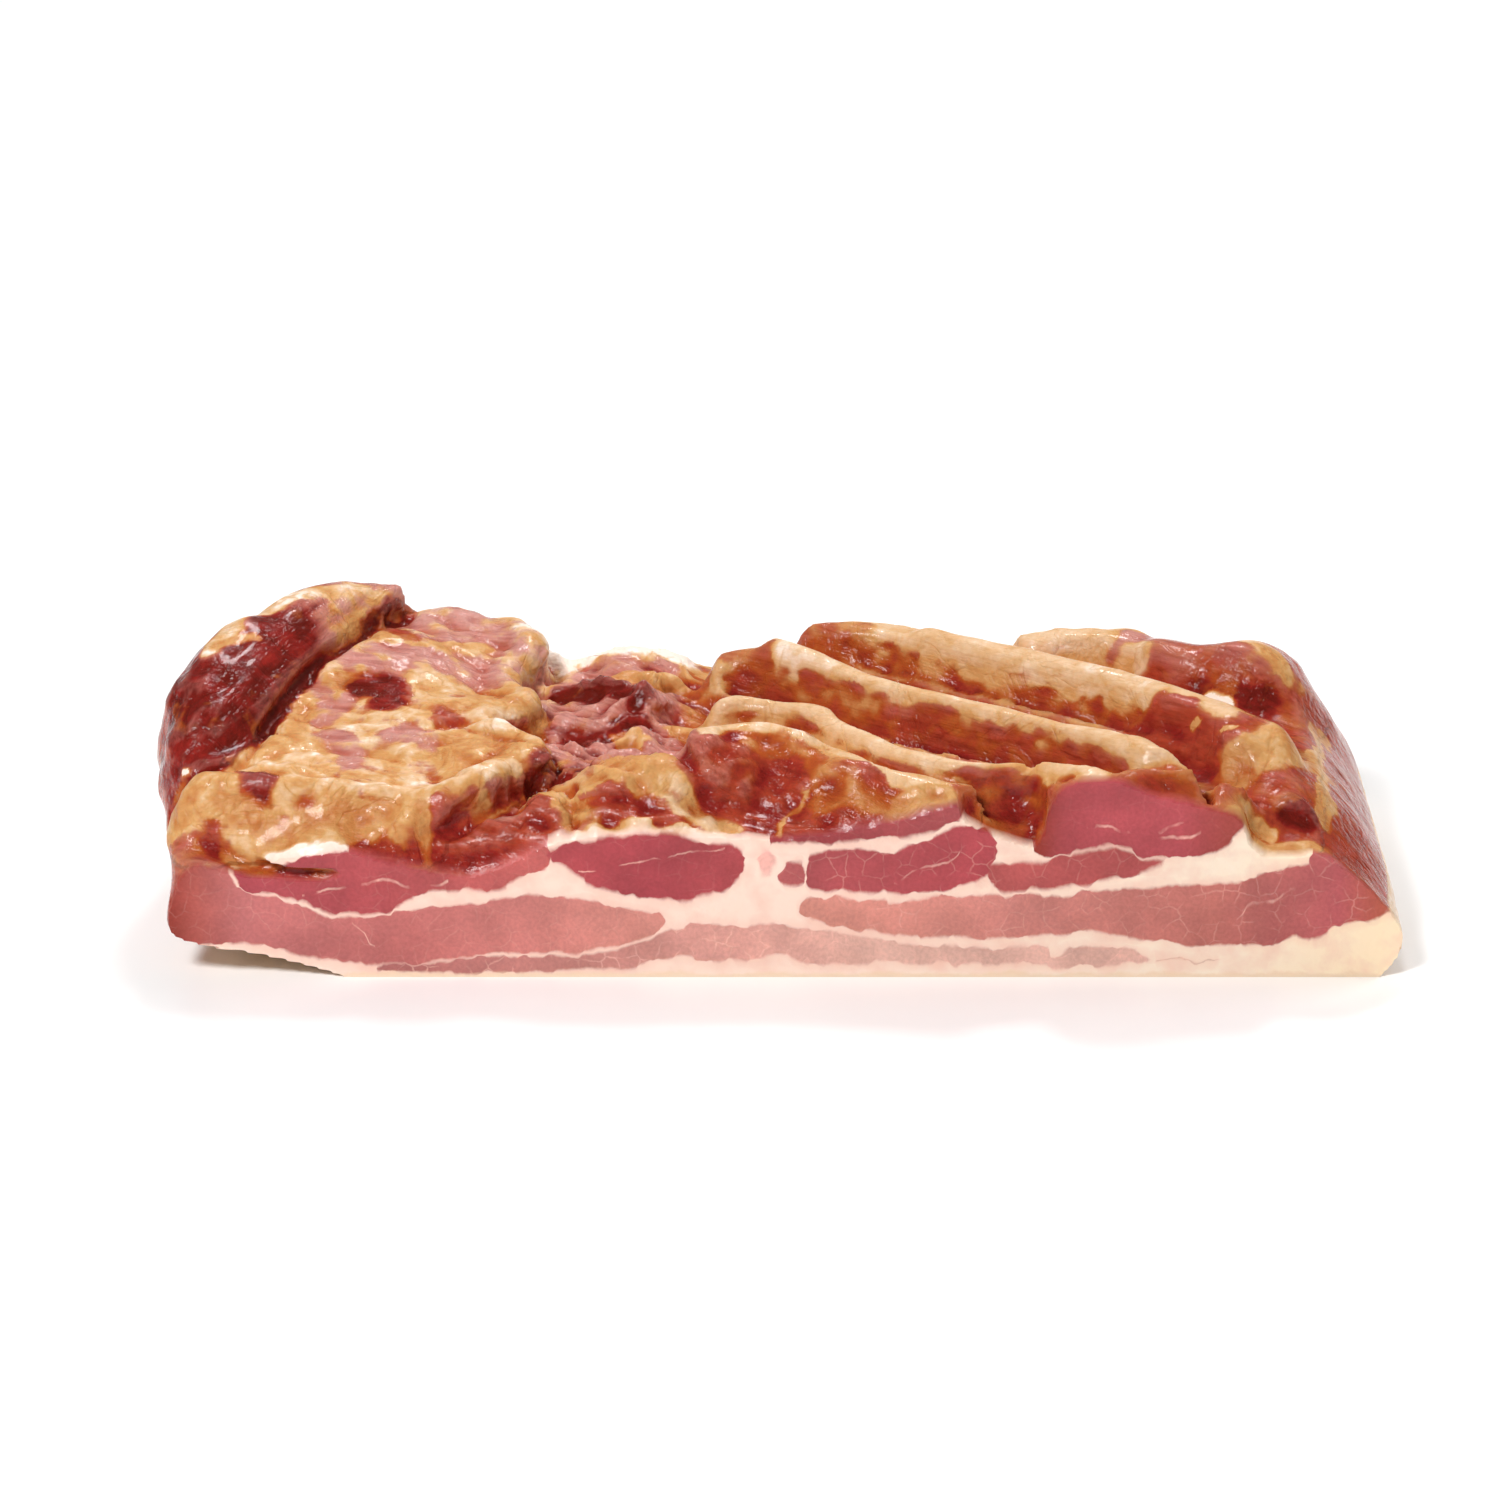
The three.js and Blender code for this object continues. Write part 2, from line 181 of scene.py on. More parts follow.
# Patches of the outside: look, half width, plan line
PATCHES = [
    # Roll of lean: fat along its top and its outer side, and a white spot that is a painted highlight
    ("pale fat", 3.5, [(-142, -2), (-137, 12), (-127, 27)]),
    ("pale fat", 5, [(-127, 27), (-120, 34), (-108, 41)]),
    ("tan fat", 2, [(-140, 0), (-133, 6)]),
    # White spot low on the roll's outer side: painted highlight
    ("white fat", 2, [(-146, -38), (-145, -40)]),
    # Fat sheet: yellow beside the roll, lean and film showing through, amber lobes, and a dark line of painted shade in
    # the crease under the roll
    ("veiled fat", 22, [(-98, 30), (-82, 34), (-66, 28)]),
    ("yellow fat", 4.5, [(-94, 37), (-105, 14), (-114, 1), (-120, -17), (-124, -30)]),
    # Dark line along the crease under the roll: painted shade
    ("mahogany", 1.6, ROLL_CREASE),
    ("thin film", 8, [(-107, 17), (-95, 17), (-84, 18), (-74, 16)]),
    ("dark lean", 5.5, [(-104, 4), (-97, 3), (-96, -5)]),
    ("thin film", 5, [(-115, 4), (-110, -4), (-114, -12)]),
    ("thin film", 10, [(-88, 44), (-76, 41), (-66, 35)]),
    ("tan fat", 2.5, [(-94, 26), (-84, 28), (-75, 30)]),
    ("brown-red", 3.5, [(-99, 34), (-93, 29)]),
    ("thin film", 5, [(-110, -22), (-104, -27), (-106, -35)]),
    ("thin film", 5, [(-92, -21), (-85, -25), (-80, -29)]),
    ("red lean", 3.5, [(-84, -8), (-82, -14)]),
    ("amber fat", 8, [(-76, -4), (-68, 1), (-63, 2)]),
    ("amber fat", 9, [(-76, -30), (-66, -30), (-58, -30)]),
    ("yellow fat", 6, [(-133, -53), (-106, -54), (-80, -55)]),
    ("dark lean", 4.2, [(-130, -46.5), (-125, -47)]),
    ("tan fat", 6, [(-150, -44), (-142, -47), (-134, -50)]),
    ("red lean", 3.5, [(-139, -54), (-137, -55)]),
    ("smoked lean", 4, [(-150, -54), (-143, -58)]),
    ("amber fat", 4, [(-77, -54), (-72, -51)]),
    ("white fat", 1.4, [(-131, -58), (-118, -59), (-102, -60)]),
    ("yellow fat", 1.6, [(-86, -50), (-86, -62)]),
    ("wet lean", 4, [(-99, -58), (-89, -58)]),
    ("wet lean", 5, [(-81, -57), (-71, -55), (-62, -57)]),
    # Valley: pale sheen painted at the back, dark folds, bits of fat
    ("painted sheen", 8, [(-58, 42), (-48, 46), (-36, 48), (-26, 46)]),
    ("dark lean", 4, [(-53, 24), (-44, 19), (-33, 9)]),
    ("dark lean", 4, [(-50, -8), (-42, -6), (-33, 1)]),
    ("tan fat", 4, [(-38, 22), (-32, 26), (-25, 30)]),
    ("tan fat", 3, [(-37, -4), (-33, -13)]),
    ("mahogany", 4, [(-58, -38), (-53, -30), (-46, -33)]),
    # Mound in front of the valley
    ("wet lean", 5, [(-58, -49), (-55, -56)]),
    ("wet lean", 6, [(-39, -53.5), (-33, -55.5), (-27, -55.5)]),
    ("pale fat", 4.5, [(-25, -50), (-17, -52), (-11, -56)]),
    ("cream fat", 2, [(-47, -60), (-29, -59), (-12, -60)]),
    # Front fold
    ("red lean", 5, [(-17, -43), (-10, -40), (-4, -42)]),
    ("amber", 5, [(-4, -33), (8, -37), (18, -47)]),
    ("amber", 5, [(13, -50), (24, -55), (31, -58)]),
    ("pale fat", 2.5, [(-17, -35), (-11, -29), (0, -28), (8, -33), (16, -37), (25, -46), (36, -54), (46, -59)]),
    ("tan fat", 1.2, [(8, -48), (5, -52), (4, -58)]),
    ("yellow fat", 4, [(33, -57), (38, -57), (44, -58)]),
    # Left ends of the strips
    ("brown-red", 6, [(-14, 29), (-8, 26), (-4, 23)]),
    ("cream fat", 3.5, [(4, 22), (12, 18), (16, 14)]),
    ("white fat", 2, [(24, -2), (29, -5)]),
    ("brown-red", 4.5, [(48, -57), (60, -56), (70, -57)]),
    ("amber fat", 4, [(-24, -2), (-17, -3)]),
    ("amber", 6, [(8, 50), (15, 47), (22, 44)]),
    # Broad pale side of the third strip
    ("golden fat", 2, [(40.5, 35.5), (57.5, 24.5), (70.5, 16.5), (89.5, 3.5), (103, -8)]),
    # Lump of lean, crumb and fat at the right, with painted sheen on the lump's top and painted shade in the cavity by
    # the crumb
    ("smoked lean", 9, [(102, 36), (112, 28), (124, 24)]),
    ("pale fat", 5, [(72, 46), (84, 42), (96, 36)]),
    # Mauve film along the lump's top: painted sheen
    ("mauve film", 5, [(95, 44), (104, 42)]),
    ("tan fat", 4, [(126, 30), (134, 22)]),
    # Dark patch in the cavity by the crumb: painted shade
    ("mahogany", 3.5, [(106, 21), (117, 16), (129, 13)]),
    ("white fat", 2, [(113, 17), (119, 15)]),
    ("wet lean", 7, [(100, -8), (108, -18), (116, -30)]),
    ("yellow fat", 1.5, [(108, -14), (109, -15)]),
    ("yellow fat", 1.5, [(115, -23), (116, -23)]),
    ("amber fat", 8, [(118, -33), (128, -26), (135, -18)]),
    ("brown-red", 7, [(88, -58), (102, -56), (114, -52)]),
    ("mahogany", 4.5, [(129, -46), (133, -48)]),
    ("tan fat", 3, [(114, -59), (122, -59), (132, -58)]),
    ("cream fat", 3.4, [(119, -53), (123, -53)]),
    ("tan fat", 2.2, [(138, -46), (139, -20), (141, 0), (143, 14)]),
]

# Bands of the cut: upper edge, lower edge, colours along x, strength of the seams between bundles, softness of
# the edges. With no upper edge the band reaches the top.
CUT_BANDS = {
    "left lean": (
        [(-158, 48), (-140, 46), (-134, 30), (-127, 22), (-116, 20), (-107, 16), (-98, 16.5), (-85, 19), (-71, 20.5),
         (-58, 22), (-47, 20.5), (-37, 19), (-29, 17.5), (-26, 15)],
        [(-158, 11), (-140, 8.5), (-130, 9.5), (-118, 6), (-108, 4.5), (-98, 3.5), (-85, 4), (-77, 5.5), (-61, 6.5),
         (-50, 6.5), (-40, 8), (-32, 10), (-26, 14.5)],
        [(-151, "#7f2c22"), (-147, "#8f372d"), (-141, "#a9534b"), (-130, "#bc6c6a"), (-90, "#be6b67"),
         (-60, "#c97a73"), (-30, "#d38a7e")],
        0.13, 0.5,
    ),
    "upper left lean": (
        [(-136, 40), (-133, 29.5), (-124, 28.5), (-113, 33), (-106, 34.2), (-103, 33.5), (-100, 44), (-57, 44),
         (-54, 36)],
        [(-136, 36), (-132, 27), (-127, 22.5), (-116, 21), (-107, 16.8), (-98, 17.2), (-94, 18), (-88, 21),
         (-80, 23.5), (-71, 23), (-62, 26), (-57, 28.5), (-54.5, 31)],
        [(-130, "#a5444c"), (-95, "#ac4b4e"), (-60, "#bb5d59")],
        0.08, 0.6,
    ),
    "middle lean": (
        [(-55.5, 33), (-50.5, 36), (-40, 37.5), (-29.5, 39), (-24, 38.5), (-16.5, 36.5), (-8, 35.5), (-5.5, 31.5)],
        [(-55.5, 33), (-51, 29.5), (-47, 26.5), (-40, 23.5), (-32, 21.5), (-22, 20.5), (-16, 22), (-9.5, 24.5),
         (-5.5, 31)],
        [(-50, "#aa454a"), (-30, "#a34047"), (-8, "#ac474b")],
        0.06, 0.7,
    ),
    "pink spot": (
        [(-3.4, 31), (-1.2, 34.5), (1, 31.5)],
        [(-3.4, 31), (-1.2, 28), (1, 31)],
        [(-1, "#e8aca0")],
        0, 1.6,
    ),
    "small lobe": (
        [(2, 28), (4.5, 31), (7.5, 30.5), (8.3, 28.5)],
        [(2, 28), (3, 26), (5, 25), (7.5, 25.5), (8.3, 28)],
        [(5, "#b85d5d")],
        0.2, 0.7,
    ),
    "upper right lean": (
        [(8.5, 29), (10.5, 33.5), (22, 34.5), (29, 33.5), (33.5, 35), (41, 37.5), (49, 40), (54.5, 38), (56, 34.5)],
        [(8.5, 28), (9, 25), (11.5, 23.5), (22, 23), (31, 22.5), (39.5, 23.5), (46.5, 24.5), (51.5, 26), (56, 33)],
        [(10, "#ac4e51"), (50, "#b0484e")],
        0.24, 0.5,
    ),
    "tongue of lean": (
        [(53, 28), (54, 30), (62, 30.5), (68.5, 31.5), (75, 33.5), (83, 34.5), (87.5, 33.5), (92, 31.5), (96, 31.5)],
        [(53, 28), (54.5, 24.5), (58, 22.8), (67.5, 23.6), (75, 24.6), (81, 25.6), (87, 27), (94, 30), (96, 31.5)],
        [(55, "#b25452"), (95, "#b0504f")],
        0.15, 0.7,
    ),
    "muscle": (
        None,
        [(64.5, 34.5), (68.5, 32.5), (75, 34), (83, 35), (87.5, 34), (92, 32), (97.5, 32), (106, 33), (110.5, 34),
         (114.5, 38), (118, 42)],
        [(66, "#8c3227"), (72, "#a9464a"), (80, "#b04b51"), (100, "#b04b51"), (112, "#a2453f")],
        0.03, 0.6,
    ),
    "strip under the front fold": (
        None,
        [(0, 36), (10.5, 36), (23, 36.5), (33, 38), (41, 39.5), (45.5, 42), (48, 46)],
        [(2, "#98393d"), (45, "#a04a4c")],
        0.1, 0.7,
    ),
    "long lean": (
        [(6, 18.5), (8.5, 20.5), (12.5, 21.5), (26, 21), (36, 20.5), (44, 22), (59, 22), (70, 22), (81, 23.5), (94, 24),
         (110, 25), (120, 26.5), (126, 29.5), (131, 30), (135, 36), (158, 60)],
        [(6, 18.5), (10.5, 16), (15.5, 14), (26, 12), (36.5, 11), (60, 10.5), (77, 12), (91, 11), (106, 8.5),
         (125, 8.5), (129, 11), (133, 10), (140, 13), (146, 15), (158, 20)],
        [(8, "#d48c7d"), (60, "#c97f76"), (110, "#b86b62"), (140, "#b25659"), (152, "#ba5c47")],
        0.25, 0.5,
    ),
    "pale lower lean": (
        [(-98, 3), (-83, 4), (-76, 5.5), (-60, 5.7), (-47, 6), (-32, 9.5), (-24, 13), (-15, 14.5), (-9, 13.5),
         (-1, 14.5), (11, 12.5), (25, 10.5), (42, 8.5), (62, 8), (67.5, 8), (71.5, 5.5), (73, 8), (81, 8), (94.5, 5.5)],
        [(-98, 2.5), (-90, 1), (-76, 1), (-50, 2), (-32, 3), (-24, 5.5), (-14, 4.5), (-5, 4.5), (3, 6), (10.5, 3.5),
         (25, 4), (52, 3.5), (71, 3), (81, 3), (94.5, 5)],
        [(-90, "#b06a66"), (-40, "#c5857c"), (-5, "#d89c90"), (30, "#dfb0a1"), (90, "#d8a99b")],
        0.6, 0.5,
    ),
    "specks of lean": (
        [(95.5, 4.6), (100, 5.1), (106, 4.8), (111, 4.8)],
        [(95.5, 4.4), (100, 4), (106, 4.2), (111, 4.4)],
        [(100, "#dcb29c")],
        0, 0.4,
    ),
}

# Pale streaks in the lean of the cut: line (x, z) and half width
STREAKS = {
    "slit of the middle lean": ([(-48.5, 28.5), (-38, 30), (-24.5, 32.5), (-9.5, 35.5)], 0.18),
    "upper right lean": ([(29, 25), (36, 29), (43, 30.5), (46.5, 34), (48, 37.5)], 0.22),
    "muscle, upper": ([(76, 40), (81, 40.5), (86.5, 39), (92, 38.5), (98, 40.5), (103.5, 42)], 0.3),
    "muscle, lower": ([(88, 39), (93, 37.5), (100, 37.5), (107, 39.5)], 0.3),
    "long lean": ([(113.5, 15), (118, 19.5), (124, 21), (127.5, 23.5), (131.5, 24.5), (134, 27)], 0.28),
    "left lean": ([(-104.5, 16), (-100.5, 12.5), (-96, 8)], 0.22),
    "upper left lean": ([(-116.5, 22), (-108, 23.5), (-102.5, 24.5), (-95.5, 26), (-87.5, 24.5), (-81, 25),
                         (-77.5, 27.5)], 0.25),
}
CUT_SPAN = 320  # width that the edge lines of the cut are drawn over
CUT_RISE = 70  # and their height
BAND_END = 4  # how far a band's edges cross over past its ends
STREAK_END = 1.5  # how far a streak stops short of the ends of its line
HALO = 2.5  # width of the pinker fat beside lean

STRIP_RUN = -35  # plan direction of the strips, in degrees
ROLL_RUN = 68  # and of the roll
SHEET_RUN = -12  # and of the fat sheet's fibres
SEAM_HEIGHT = 24  # height of the seam of fat on the uncut sides
HOLLOW_ROUNDS = 14  # rounds of evening that tell hollows from ridges
WEIGHT_STEPS = 10  # steps between a free and a fixed point
# Fields stored on the outside; fat, smoke and film also carry painted shade in hollows and painted sheen on ridges
OUTSIDE_FIELDS = ("fat", "smoke", "film", "ragged")

# Moist flesh: a thin film of brine over meat that lets a little light in
MOIST_FLESH = {
    "IOR": 1.38,
    "Specular IOR Level": 0.25,
    "Coat Weight": 0.2,
    "Coat Roughness": 0.08,
    "Coat IOR": 1.38,
    "Subsurface Weight": 0.25,
    "Subsurface Radius": (1.0, 0.35, 0.2),
    "Subsurface Scale": 0.003,
}

# Studio, in metres and watts. Lamps: place, size, power, seen in reflections (the others would grey wet lean)
LAMPS = {
    "overhead": ((0.05, 0.65, 0.95), 0.16, 3.6, True),
    "side": ((0.95, 0.3, 0.6), 0.5, 5, False),
    "window": ((-0.5, -0.75, 0.95), 0.3, 15, True),
    "backdrop": ((0.1, 1.6, 0.75), 1.6, 25, False),
}
LAMP_AIM = Vector((0, 0, 0.02))
SKY = 0.13  # even light from all round
CAMERA_PLACE = (-0.006876, -1.17252, 0.510147)
CAMERA_TILT = 68  # degrees up from looking straight down
CAMERA_LENS = 118.52


def linear(code):
    """Linear colour of an sRGB hex code."""
    parts = [int(code[i:i + 2], 16) / 255 for i in (1, 3, 5)]
    return tuple(c / 12.92 if c <= 0.04045 else ((c + 0.055) / 1.055) ** 2.4 for c in parts) + (1,)


def smooth(low, high, value):
    """Share of the way from low to high, eased at both ends."""
    t = np.clip((value - low) / (high - low), 0, 1)
    return t * t * (3 - 2 * t)


def bell(distance):
    """Rounded hump that is 1 in the middle and 0 from a distance of 1."""
    return np.clip(1 - distance ** 2, 0, None) ** 2


def curve_points(stations, steps=6):
    """Points of a smooth line through the stations."""
    p = np.array(stations, float)
    ends = np.vstack([2 * p[0] - p[1], p, 2 * p[-1] - p[-2]])
    t = np.linspace(0, 1, steps, endpoint=False)[:, None]
    parts = []
    for a, b, c, d in zip(ends, ends[1:], ends[2:], ends[3:]):
        parts.append(0.5 * (2 * b + (c - a) * t + (2 * a - 5 * b + 4 * c - d) * t ** 2
                            + (3 * b - a - 3 * c + d) * t ** 3))
    return np.vstack(parts + [p[-1:]])


def beside(points, stations, reach=np.inf):
    """Sideways distance of points from a plan line, left of it positive, and the row of the line they are next to.

    Points further than reach from the line's box get an endless distance.
    """
    line = curve_points(stations)[:, :2]
    plan = points[:, :2]
    close = np.all((plan > line.min(0) - reach) & (plan < line.max(0) + reach), axis=1)
    plan = plan[close]
    best = np.full(len(plan), np.inf)
    side = np.ones(len(plan))
    row = np.zeros(len(plan))
    for i, (a, b) in enumerate(zip(line, line[1:])):
        run = b - a
        off = plan - a
        t = np.clip(off @ run / (run @ run), 0, 1)
        off = off - t[:, None] * run
        distance = np.hypot(off[:, 0], off[:, 1])
        near = distance < best
        best[near] = distance[near]
        side[near] = np.where(run[0] * off[near, 1] - run[1] * off[near, 0] >= 0, 1, -1)
        row[near] = (i + t)[near]
    away = np.full(len(points), np.inf)
    rows = np.zeros(len(points))
    away[close] = best * side
    rows[close] = row
    return away, rows


def grain(points, size, seed=0.0):
    """Soft uneven field between about -1 and 1, with lumps of a given size in millimetres."""
    spots = (points / np.array(size) + seed).tolist()
    return np.array([noise.noise(p) for p in spots])


def creases(points, size, seed=0.0):
    """Field with narrow raised creases, 0 to about 1, for folds of a given size in millimetres."""
    return 1 - 2 * np.abs(grain(points, size, seed))


def beads(points, size):
    """Field of rounded beads of a given size in millimetres, highest in the middle of each."""
    spots = (points / size).tolist()
    return np.array([0.5 - noise.voronoi(p)[0][0] for p in spots])


def turned(points, degrees):
    """Points turned about the vertical, so that x runs along a given plan direction."""
    c, s = math.cos(math.radians(degrees)), math.sin(math.radians(degrees))
    x, y, z = points.T
    return np.stack([c * x + s * y, c * y - s * x, z], 1)


def down_right_end(points):
    """Points in a frame whose x runs down the slope of the right end."""
    x, y, z = points.T
    return np.stack([0.7 * (x - z), y + 0.3 * x, 0.7 * (x + z)], 1)


def mesh_points(piece):
    """The piece's points and normals, in millimetres."""
    mesh = piece.data
    flat = np.empty(3 * len(mesh.vertices))
    mesh.vertices.foreach_get("co", flat)
    normals = np.empty(3 * len(mesh.vertices))
    mesh.vertex_normals.foreach_get("vector", normals)
    return MM * flat.reshape(-1, 3) + MIDDLE, normals.reshape(-1, 3)


def set_points(piece, points):
    piece.data.vertices.foreach_set("co", ((points - MIDDLE) / MM).ravel())
    piece.data.update()


def hollows(piece, points, normals, rounds):
    """How far each point lies below the evened surface around it, in millimetres; ridges are negative."""
    edges = np.empty(2 * len(piece.data.edges), int)
    piece.data.edges.foreach_get("vertices", edges)
    a, b = edges.reshape(-1, 2).T
    count = np.bincount(np.r_[a, b], minlength=len(points))[:, None]
    even = points
    for _ in range(rounds):
        total = np.stack([np.bincount(np.r_[a, b], np.r_[even[b, k], even[a, k]], len(points)) for k in range(3)], 1)
        even = total / count
    return ((even - points) * normals).sum(1)


def strip_drop(points, names):
    """How far points are below the nearest strip's top if the strip were endless downwards, and its crest height."""
    drop = np.full(len(points), np.inf)
    top = np.zeros(len(points))
    plan = points * (1, 1, 0)
    swerve = 1.6 * grain(plan, (13, 13, 13), 31.2)
    rise = 1.2 * grain(plan, (15, 15, 15), 47.9)
    for name in names:
        stations, half = STRIPS[name]
        away, row = beside(points, stations)
        away = np.abs(away + swerve)
        heights = curve_points(stations)[:, 2]
        crest = np.interp(row, range(len(heights)), heights) + rise
        fall = CROWN_FALL * np.minimum(away / half, 1) ** 2 + WALL_SLOPE * np.clip(away - half, 0, None)
        higher = crest - fall > top - drop
        drop[higher] = fall[higher]
        top[higher] = crest[higher]
    return drop, top


def active_only(piece):
    """Leaves one object selected and active, in object mode."""
    bpy.ops.object.select_all(action="DESELECT")
    piece.select_set(True)
    bpy.context.view_layer.objects.active = piece


def remesh(piece, voxel):
    """Evens out the facets, then lays the cut and the rind flat again."""
    active_only(piece)
    modifier = piece.modifiers.new("Even facets", "REMESH")
    modifier.mode = "VOXEL"
    modifier.voxel_size = voxel / MM
    bpy.ops.object.modifier_apply(modifier=modifier.name)
    points, _ = mesh_points(piece)
    points[points[:, 1] < CUT_Y + 0.6 * voxel, 1] = CUT_Y
    points[points[:, 2] < 0.6 * voxel, 2] = 0
    set_points(piece, points)


def soften(piece, rounds, keep):
    """Smooths the piece where keep is low: 1 keeps a point in place."""
    group = piece.vertex_groups.new(name="soft")
    level = np.rint(WEIGHT_STEPS * (1 - keep))
    for step in range(WEIGHT_STEPS + 1):
        group.add(np.flatnonzero(level == step).tolist(), step / WEIGHT_STEPS, "REPLACE")
    modifier = piece.modifiers.new("Soften", "SMOOTH")
    modifier.factor = 0.5
    modifier.iterations = rounds
    modifier.vertex_group = group.name
    active_only(piece)
    bpy.ops.object.modifier_apply(modifier=modifier.name)
    piece.vertex_groups.clear()


def near_flats(points):
    """1 on the cut and on the rind's flat, falling to 0 within a few millimetres."""
    cut = 1 - smooth(0.2, 3, points[:, 1] - CUT_Y)
    base = 1 - smooth(0.2, 2, points[:, 2])
    return np.maximum(cut, base)


def parts_of_outside(points, normals):
    """Share of each large form of the outside at each point."""
    x, y, z = points.T
    up = smooth(-0.1, 0.25, normals[:, 2])
    past_sheet, _ = beside(points, SHEET_EDGE)
    past_roll, _ = beside(points, ROLL_CREASE)
    past_right, _ = beside(points, RIGHT_EDGE)
    off_mound, _ = beside(points, MOUND)
    off_fold, _ = beside(points, STRIPS["front fold"][0])
    drop, _ = strip_drop(points, RIB_STRIPS)
    between = smooth(-26, -20, x) * (1 - smooth(114, 124, x)) * smooth(36, 40, z)
    return {
        "valley": (1 - smooth(-1, 1, past_sheet)) * (1 - smooth(-24, -14, x)) * smooth(-90, -80, x)
        * smooth(33, 38, z) * up,
        "sheet": smooth(-1, 1, past_sheet) * smooth(27, 31, z) * (1 - smooth(-40, -30, x)),
        "roll": smooth(-1, 1, past_roll) * smooth(24, 32, z) * (1 - smooth(-90, -80, x)),
        "mound": bell(off_mound / 13) ** 0.5 * smooth(-66, -58, x) * (1 - smooth(-16, -8, x)),
        "strips": smooth(-1, 1.5, off_fold) * between * (1 - smooth(40, 60, drop)),
        "fold": (1 - smooth(-1, 1.5, off_fold)) * smooth(-22, -16, x) * (1 - smooth(44, 52, x)) * smooth(34, 37, z),
        "right end": smooth(-1.5, 1.5, -past_right) * smooth(100, 115, x),
        "side": 1 - smooth(0.1, 0.45, normals[:, 2]),
    }


def below_crest(points):
    """Depth of points below the crest of the strip they belong to."""
    _, crest = strip_drop(points, RIB_STRIPS)
    return np.clip(crest - points[:, 2], 0, None)


def rind_height(points):
    """Height of the cream rind round the slab: low at the left, higher at the back and the right."""
    x, y, _ = points.T
    return 9 + 5 * smooth(-140, -60, x) + 4 * smooth(60, 150, x) + 1.5 * grain(points, (22, 22, 60), 3.1)


class BaconSizes(bpy.types.PropertyGroup):
    """Sizes that a user would change."""

    facet: bpy.props.FloatProperty(
        name="Facet", description="Size of the finished facets", default=0.0011, unit="LENGTH"
    )
    relief: bpy.props.FloatProperty(
        name="Relief", description="Height of the beads, fibres and wrinkles", default=0.0009, unit="LENGTH"
    )
    fascicle: bpy.props.FloatProperty(
        name="Muscle bundle", description="Width of a bundle of fibres on the cut", default=0.0046, unit="LENGTH"
    )


def colour_property(name, description, code):
    return bpy.props.FloatVectorProperty(
        name=name, description=description, default=linear(code), size=4, min=0, max=1, subtype="COLOR"
    )


class BaconColours(bpy.types.PropertyGroup):
    """Colours that a user would change."""

    rose: colour_property("Rose lean", "Lean under little smoke", "#ad4f4c")
    rust: colour_property("Rust lean", "Lean in light smoke", "#a23f28")
    crimson: colour_property("Crimson lean", "Lean in half smoke", "#84201a")
    mahogany: colour_property("Mahogany lean", "Lean under deep smoke", "#62170f")
    film: colour_property("Silver film", "Membrane over the lean", "#c58d82")
    amber: colour_property("Amber edge", "Thin fat over lean", "#ab5220")
    white: colour_property("White fat", "Fat under no smoke", "#f6e4d6")
    cream: colour_property("Cream fat", "Fat under a trace of smoke", "#dfbb96")
    yellow: colour_property("Yellow fat", "Fat under little smoke", "#cd995f")
    tan: colour_property("Tan fat", "Fat under much smoke", "#b8713a")
    brown: colour_property("Brown fat", "Fat under deep smoke", "#8a4420")
    cut_fat: colour_property("Cut fat", "Fat on the knife's cut", "#f9dccb")
    cut_rind: colour_property("Cut rind", "Rind on the knife's cut", "#efcfb0")


class BACON_OT_shape_slab(bpy.types.Operator):
    """Takes the slab's solid, evens out its facets and softens its flesh"""

    bl_idname = "bacon.shape_slab"
    bl_label = "Shape the slab"

    def execute(self, context):
        bpy.ops.object.select_all(action="DESELECT")
        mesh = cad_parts[NODE].data.copy()
        mesh.materials.clear()
        piece = bpy.data.objects.new(PIECE, mesh)
        context.scene.collection.objects.link(piece)
        active_only(piece)
        bpy.ops.object.mode_set(mode="EDIT")
        bpy.ops.mesh.select_all(action="SELECT")
        bpy.ops.mesh.remove_doubles(threshold=1e-5)
        bpy.ops.object.mode_set(mode="OBJECT")
        remesh(piece, FIRST_FACET)
        points, _ = mesh_points(piece)
        soften(piece, FIRST_ROUNDS, near_flats(points))
        return {"FINISHED"}


